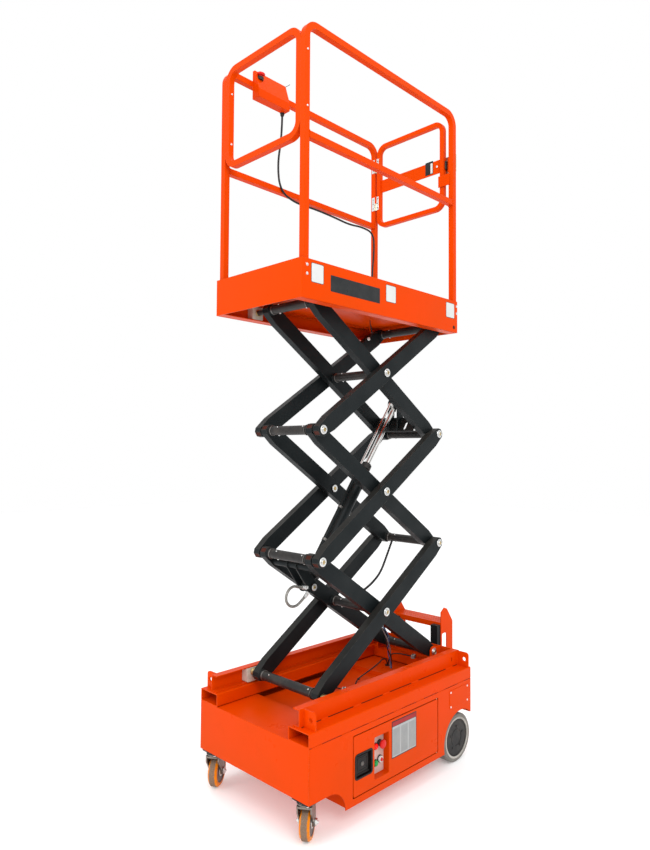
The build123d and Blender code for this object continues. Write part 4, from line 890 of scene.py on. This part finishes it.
seal = Piece("cylinder_wiper", "barrel", "hub_black")
ports = Piece("cylinder_ports", "barrel", "steel_dark")
straps = Piece("cylinder_straps", "barrel", "black_paint")
clamp = Piece("cylinder_pipe_clamp", "barrel", "steel_dark")
end = looking(along_barrel(BARREL_END), stroke, Y)
seal.ring(end, 15.3, 29, 30, 2)
seal.ring(end, 15.3, 24, 5, 1.5, base=30)
pipe_out = across * math.copysign(40 * MM, across.x)
seal.ring(Matrix.Translation(pipe_out) @ end, 6.8, 11.4, 3, 1)
for side in BOTH:
    spot = along_barrel(BARREL_END + 17) + Y * (side * 28.6 * MM)
    straps.dome(looking(spot, Y * side), 5, 3, sides=16)
for where, outer in ((640, 34.5), (590, 34.6), (110, 34.6)):
    straps.ring(looking(along_barrel(where), stroke, Y), 32.5, outer, 5, 1.2)
for where in (120, 600):
    place = looking(along_barrel(where) + Y * 31.5 * MM, Y, stroke)
    ports.hexagon(place, 10.5, 9)
    ports.turned(place, [(7.5, 8), (7.5, 13), (6, 14.5), (0.5, 14.5)], 20)
for where in (235, 430):
    spot = along_barrel(where) + pipe_out * 0.96
    clamp.ring(looking(spot, stroke, Y), 10.2, 13.2, 14, 1.2, 28)
finish(seal, ports, straps, clamp)

# ---- bushes beside the slide blocks
for name, body, y in (("bottom", "outer_frame_1", 259.5), ("top", "inner_frame_3", 247.5)):
    z = joint_place(f"{name}_slide_pivot").z
    bushes = Piece(f"slide_bushes_{name}_slides", body, "yellow_zinc")
    for side in BOTH:
        place = looking((front_x, side * y * MM, z), Y * -side)
        bushes.ring(place, 12.6, 16.5, 7, 1)
        if name == "bottom":
            bushes.ring(looking((front_x, side * 232 * MM, z), Y * side), 12.6, 15.2, 20, 1)
    bushes.done()

# ---- wheels
BULGE = [(105, -3), (105, 0.2), (103.6, 0.9), (97, 0.9), (95.5, 0.1), (95.5, -3), (105, -3)]
HUB_RINGS = [
    ([(88, -3.1), (88, -2.2), (86.5, -1.7), (85, -2.2), (85, -3.1), (88, -3.1)], 72),
    ([(46, -3.1), (46, -1.6), (44, -0.9), (42, -1.6), (42, -3.1), (46, -3.1)], 56),
]
CAP = [(29.5, -1), (29.5, 1.2), (27.5, 3), (24, 3.6), (0.5, 4.2)]
CAP_Y = 344


def round_about(place, radius, z, count, turn=0):
    """Points evenly round a placement's axis."""
    angles = [2 * math.pi * i / count + turn for i in range(count)]
    return [place @ (Vector((radius * math.cos(a), radius * math.sin(a), z)) * MM) for a in angles]


for label, side in SIDES.items():
    hub = joint_place(f"rear_axle_{label}")
    low, high = map(Vector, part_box(f"rear_tyre_{label}"))
    body = f"rear_wheel_{label}"
    rim = Piece(f"rear_rim_{label}", body, "rim_grey")
    cover = Piece(f"rear_hub_cover_{label}", body, "hub_black")
    place = looking((hub.x, high.y if side > 0 else low.y, hub.z), Y * side)
    # raised bead of the tyre round the hub, and the ring of moulded nubs inside it
    rim.turned(place, BULGE, 72)
    for spot in round_about(place, 90.5, -3.2, 24):
        cover.dome(looking(spot, Y * side, X), 2.4, 2, sides=12)
    for profile, sides in HUB_RINGS:
        cover.turned(place, profile, sides)
    for spot in round_about(place, 58, -3.2, 5, 0.3):
        cover.hexagon(looking(spot, Y * side, X), 6.5, 3)
    finish(rim, cover)
    place = looking((hub.x, side * CAP_Y * MM, hub.z), Y * side)
    Piece(f"rear_axle_cap_{label}", "chassis", "hub_black").turned(place, CAP, 48).done()

CASTER_RIM = [
    (56, -0.5), (55, 3.4), (52, 3.8), (50, 1), (32, 0.2), (30, 1.2), (27, 1.2), (27, -0.5),
    (56, -0.5),
]
BEARING = [(20.1, 0), (26, 0), (26, 3.2), (24.5, 4.4), (21, 4.4), (20.1, 3.4), (20.1, 0)]
RACE = [(34.2, 2), (37.5, 2), (38.5, 5), (37.8, 8.5), (34.2, 9.5), (34.2, 2)]
RACE_Z, CASTER_PLATE_Z = 0.168, 0.183
for label in SIDES:
    axle = joint_at[f"caster_axle_{label}"]
    centre, axis = Vector(axle["pos_m"]), Vector(axle["axis"])
    wheel, fork = f"caster_wheel_{label}", f"caster_{label}"
    bearing = Piece(f"caster_bearings_{label}", wheel, "washer_steel")
    spokes = Piece(f"caster_rims_{label}", wheel, "steel_dark")
    nuts = Piece(f"caster_nuts_{label}", fork, "washer_steel")
    stub = Piece(f"caster_washers_{label}", fork, "steel_dark")
    for out in (1, -1):
        place = looking(centre + axis * out * 19 * MM, axis * out, Z)
        spokes.turned(place, CASTER_RIM, 48)
        bearing.turned(place, BEARING, 36)
        face = looking(centre + axis * out * 41 * MM, axis * out, Z)
        nuts.hexagon(face, 15, 10, base=-7.8)
        nuts.turned(face, [(6.5, 0.5), (6.5, 5.5), (5.4, 7), (0.5, 7.4)], 20)
        stub.ring(face, 8.5, 16, 2.4, 0.6, 28, base=-8.2)
    swivel = joint_place(f"caster_swivel_{label}")
    races = Piece(f"caster_race_{label}", fork, "steel_dark")
    races.turned(looking((swivel.x, swivel.y, RACE_Z), Z, X), RACE, 44)
    plate_bolts = Piece(f"caster_plate_bolts_{label}", "chassis", "washer_steel")
    for dx in (-28, 28):
        for dy in (-41, 41):
            spot = Vector((swivel.x + dx * MM, swivel.y + dy * MM, CASTER_PLATE_Z))
            plate_bolts.hexagon(looking(spot, -Z, X), 7.5, 5)
            plate_bolts.ring(looking(spot, -Z, X), 4.4, 9, 1.4, 0.4, 24)
    finish(bearing, spokes, nuts, stub, races, plate_bolts)

# ---- chassis: seams, welds, covers
HULL_SIDE = 380
SEAM_Z = 420
CHANNEL_SIDE, CHANNEL_Z = 310, 480
GAPS = [(-598, -539), (-476, -230), (-174, 1), (51, 210), (262, 430), (470, 590)]
WELDS = [(gap[1], after[0]) for gap, after in zip(GAPS, GAPS[1:] + [(599,)])]
BEAD_PITCH = 4.2
for label, side in SIDES.items():
    # dark strips along the joint of the slide channel and the fork pocket, broken at the welds: painted shade of
    # the gap between them
    gaps = Piece(f"channel_gaps_{label}", "chassis", "seam_dark")
    for x0, x1 in GAPS:
        low = at(x0, side * CHANNEL_SIDE, CHANNEL_Z)
        gaps.box(low, at(x1, side * (CHANNEL_SIDE + 0.5), CHANNEL_Z + 3.6), 0.1)
    welds = Piece(f"channel_welds_{label}", "chassis", "orange_paint")
    for x0, x1 in WELDS:
        for i in range(math.ceil((x1 - x0 - 3) / BEAD_PITCH)):
            spot = at(x0 + 2 + BEAD_PITCH * i, side * (CHANNEL_SIDE + 0.6), CHANNEL_Z + 1.2)
            welds.dome(looking(spot, (0.25, side, 0.9), X), 4.2, 2.4, base=-0.4, sides=12)
    for x in range(-600, 604, 6):
        if (x // 60) % 3 == 0:
            place = looking(at(x, side * (HULL_SIDE - 0.6), SEAM_Z + 0.6), (0.2, side, 0.5), X)
            welds.dome(place, 3.6, 1.5, base=-0.9, sides=10)
    for x, out in ((566.5, 1), (-587.5, -1)):
        for z in range(482, 556, 5):
            spot = at(x, side * (CHANNEL_SIDE + 0.4), z)
            welds.dome(looking(spot, (-out, side * 0.8, 0.2), Z), 3.2, 1.8, base=-0.4, sides=10)
    welds.done(70)
    # dark strip along the body's seam line: painted shade of the gap
    seam = Piece(f"body_seams_{label}", "chassis", "seam_dark")
    low = at(-605, side * HULL_SIDE, SEAM_Z - 1.1)
    seam.box(low, at(605, side * (HULL_SIDE + 0.25), SEAM_Z + 0.3), 0.05)
    cover_screws = Piece(f"cover_screws_{label}", "chassis", "washer_steel")
    for x in (-574, -419):
        for z in (315, 389):
            cover_screws.dome(looking(at(x, side * (HULL_SIDE + 2), z), Y * side), 5.2, 1.6)
    finish(gaps, seam, cover_screws)

corner_welds = Piece("corner_beads", "chassis", "orange_paint")
for side in BOTH:
    for z in range(194, 420, 4):
        place = looking(at(609.6, side * (HULL_SIDE - 0.4), z), (1, side, 0), Z)
        corner_welds.dome(place, 1.9, 0.7, base=-0.45, sides=8)
corner_welds.done(70)

# ---- doors
for label, side in SIDES.items():
    body = f"{label}_door"
    latch = looking(at(268, side * HULL_SIDE, 250), Y * side)
    surround = Piece(f"latch_frame_{label}", body, "latch_black")
    surround.frame(latch, 121, 113, 8, 3, 15, 1.2)
    surround.frame(latch, 109, 109, 3, 20, 8, 0.6, base=-19.6)
    surround.slab(latch, 107.6, 107.6, 1.4, 7, 0.3, base=-20.2)
    paddle = Piece(f"latch_paddle_{label}", body, "latch_black")
    paddle.slab(latch, 84, 78, 9, 9, 2.4, base=-18.6)
    paddle.frame(latch, 66, 60, 5, 1.6, 7, 0.6, base=-9.8)
    low = at(224, side * (HULL_SIDE - 18), 204)
    paddle.box(low, at(312, side * (HULL_SIDE - 7), 214), 1.2)
    lock = Piece(f"latch_lock_{label}", body, "steel_dark")
    lock.ring(latch, 6.2, 9.6, 2.4, 0.7, base=-9.6)
    lock.disc(latch, 6.1, 1.6, 0.4, base=-9.6)
    finish(surround, paddle, lock)

# blank rating plate; each row: piece, finish, middles along X, middle height, sizes of the slab
RATING_X = -25.5
RATING = [
    ("edge", "label_black", (RATING_X,), 292.5, 191, 171, 0.35, 3),
    ("face", "label_pale", (RATING_X,), 281.5, 182, 140, 0.6, 2),
    ("head", "label_red", (RATING_X,), 363.5, 182, 20, 0.6, 2),
    ("columns", "label_grey", (-86, RATING_X, 35), 279, 52, 124, 0.8, 2),
]
for name, material, middles, z, *size in RATING:
    rating = Piece(f"rating_plate_{name}", "left_door", material)
    for x in middles:
        rating.slab(looking(at(x, HULL_SIDE, z), Y), *size, 0.1)
    rating.done()

# control recess: sheet, stop button, lamps and push button
WELL_Y = 347
place = looking(at(142.5, WELL_Y, 249), Y)
Piece("recess_sheet", "left_door", "panel_sheet").slab(place, 101, 183, 1, 4, 0.3).done()
place = looking(at(124, WELL_Y + 1, 291), Y)
profile = [(16, 0), (16, 6), (13.5, 8), (11, 22), (0.5, 22)]
Piece("recess_stop_collar", "left_door", "hub_black").turned(place, profile, 32).done()
profile = [(11, 17), (19, 19), (20.5, 23), (19.5, 28), (13, 31.5), (4, 32.6), (0.5, 32.7)]
Piece("recess_stop_knob", "left_door", "red_button").turned(place, profile, 40).done()
LAMP = [(13.5, 0), (13.5, 7), (12.5, 10), (8, 12.6), (0.5, 13.4)]
for name, z in (("red", 283), ("green", 207)):
    place = looking(at(153, WELL_Y + 1, z), Y)
    Piece(f"recess_lamp_{name}", "left_door", f"{name}_lamp").turned(place, LAMP, 32).done()
    Piece(f"recess_bezel_{name}", "left_door", "hub_black").ring(place, 13.4, 16, 4.4, 0.8).done()
place = looking(at(122, WELL_Y + 1, 218), Y)
Piece("recess_button_ring", "left_door", "button_white").ring(place, 8.5, 13.5, 14, 1).done()
Piece("recess_button", "left_door", "red_button").disc(place, 8.4, 18, 1.6).done()
Piece("recess_button_collar", "left_door", "hub_black").ring(place, 13.6, 16.5, 5, 0.8).done()

# ---- deck: switch boxes and leads
switches = Piece("limit_switches", "chassis", "wire_grey")
lids = Piece("limit_switch_lids", "chassis", "button_white")
stems = Piece("limit_switch_rollers", "chassis", "steel_dark")
ROLLER = [(4, 0), (4, 7), (2.5, 9), (0.4, 9)]
LID_TOP = 18 * MM
for spot, along in ((at(-510, 72, 481), (0.93, 0.36, 0)), (at(-20, -8, 398), (0.80, 0.60, 0))):
    place = looking(spot, Z, Z.cross(Vector(along)))
    switches.slab(place, 34, 22, 15, 3, 1)
    lids.slab(place, 30, 18, 3, 2.5, 0.8, base=15)
    for dx in (-10, 10):
        stems.dome(place @ Matrix.Translation((dx * MM, 0, LID_TOP)), 2.2, 1.2, sides=12)
    stems.turned(place @ Matrix.Translation((12 * MM, 0, LID_TOP)), ROLLER, 16)
finish(switches, lids, stems)

CURVE_STEPS = 6
# each row: points in chassis millimetres, and the lead's radius
LEADS = [
    ([(-463, -79, 414), (-457, -76, 436), (-430, -66, 462), (-380, -48, 474), (-325, -27, 472),
      (-255, -9, 466), (-180, 2, 456), (-118, 9, 446), (-88, 14, 430), (-74, 20, 412),
      (-68, 23, 398)], 3.6),
    ([(-466, -77, 414), (-468, -70, 450), (-470, -50, 484), (-478, -18, 492), (-490, 15, 493),
      (-500, 42, 490), (-506, 60, 489)], 3.4),
    ([(-14, -24, 408), (0, -40, 412), (18, -62, 408), (34, -84, 400), (42, -96, 396)], 3.2),
    ([(-30, 8, 408), (-44, 26, 410), (-62, 40, 406), (-74, 46, 398)], 3.2),
]


def smooth_line(points):
    """Points of a smooth curve through the given ones, in metres."""
    given = [at(*p) for p in points]
    padded = [given[0], *given, given[-1]]
    line = []
    for p0, p1, p2, p3 in zip(padded, padded[1:], padded[2:], padded[3:]):
        for t in (k / CURVE_STEPS for k in range(CURVE_STEPS)):
            bend = (2 * p0 - 5 * p1 + 4 * p2 - p3) * t**2 + (3 * p1 - p0 - 3 * p2 + p3) * t**3
            line.append(0.5 * (2 * p1 + (p2 - p0) * t + bend))
    return line + [given[-1]]


leads = Piece("deck_leads", "chassis", "cable_black")
for points, radius in LEADS:
    leads.tube(smooth_line(points), radius, 10)
leads.done(60)
# loose wires from the deck up to the first stage, left unparented where they are at rest
RISER = [
    (-436, -30, 418), (-431, -28, 455), (-414, -20, 492), (-392, -10, 528), (-375, -3, 570),
    (-362, 0, 615), (-336, 0, 662), (-300, 0, 702), (-262, 0, 732), (-226, 0, 760), (-190, 0, 782),
]
for name, k in (("wire_blue", 0), ("wire_grey", 1), ("cable_black", 2)):
    riser = Piece(f"riser_{name}", "chassis", name)
    path, points = smooth_line(RISER), []
    for i, point in enumerate(path):
        a = 2 * math.pi * (k / 3 + i / 34)
        loose = 4.2 + 5 * math.sin(math.pi * i / (len(path) - 1))
        points.append(point + (Y * math.cos(a) + X * math.sin(a)) * loose * MM)
    riser.tube(points, 3, 10)
    riser.done(60, ("inner_frame_1", at(-420, 0, 470), at(-300, 0, 700)))

ties = Piece("deck_lead_ties", "chassis", "cable_black")
place = looking(at(-112, 10, 445), (20, 3, -12), Y)
ties.ring(place, 3.4, 5.4, 4, 0.6, 20)
ties.slab(place @ Matrix.Translation((0, 6.5 * MM, 0)), 5, 7, 5, 1, 0.5)
ties.done()
place = looking(at(-464, -77, 416), Z, X)
Piece("deck_grommet", "chassis", "hub_black").ring(place, 10, 16, 4, 1.4).done()

# ---- entry steps: tread pattern
bar = (11, 3.4, 1.6), (8, 1.6, 0.7, 1)
tread("step_tread", "chassis", (672, 400), range(-740, -636, 13), -156, 158, 16, *bar)
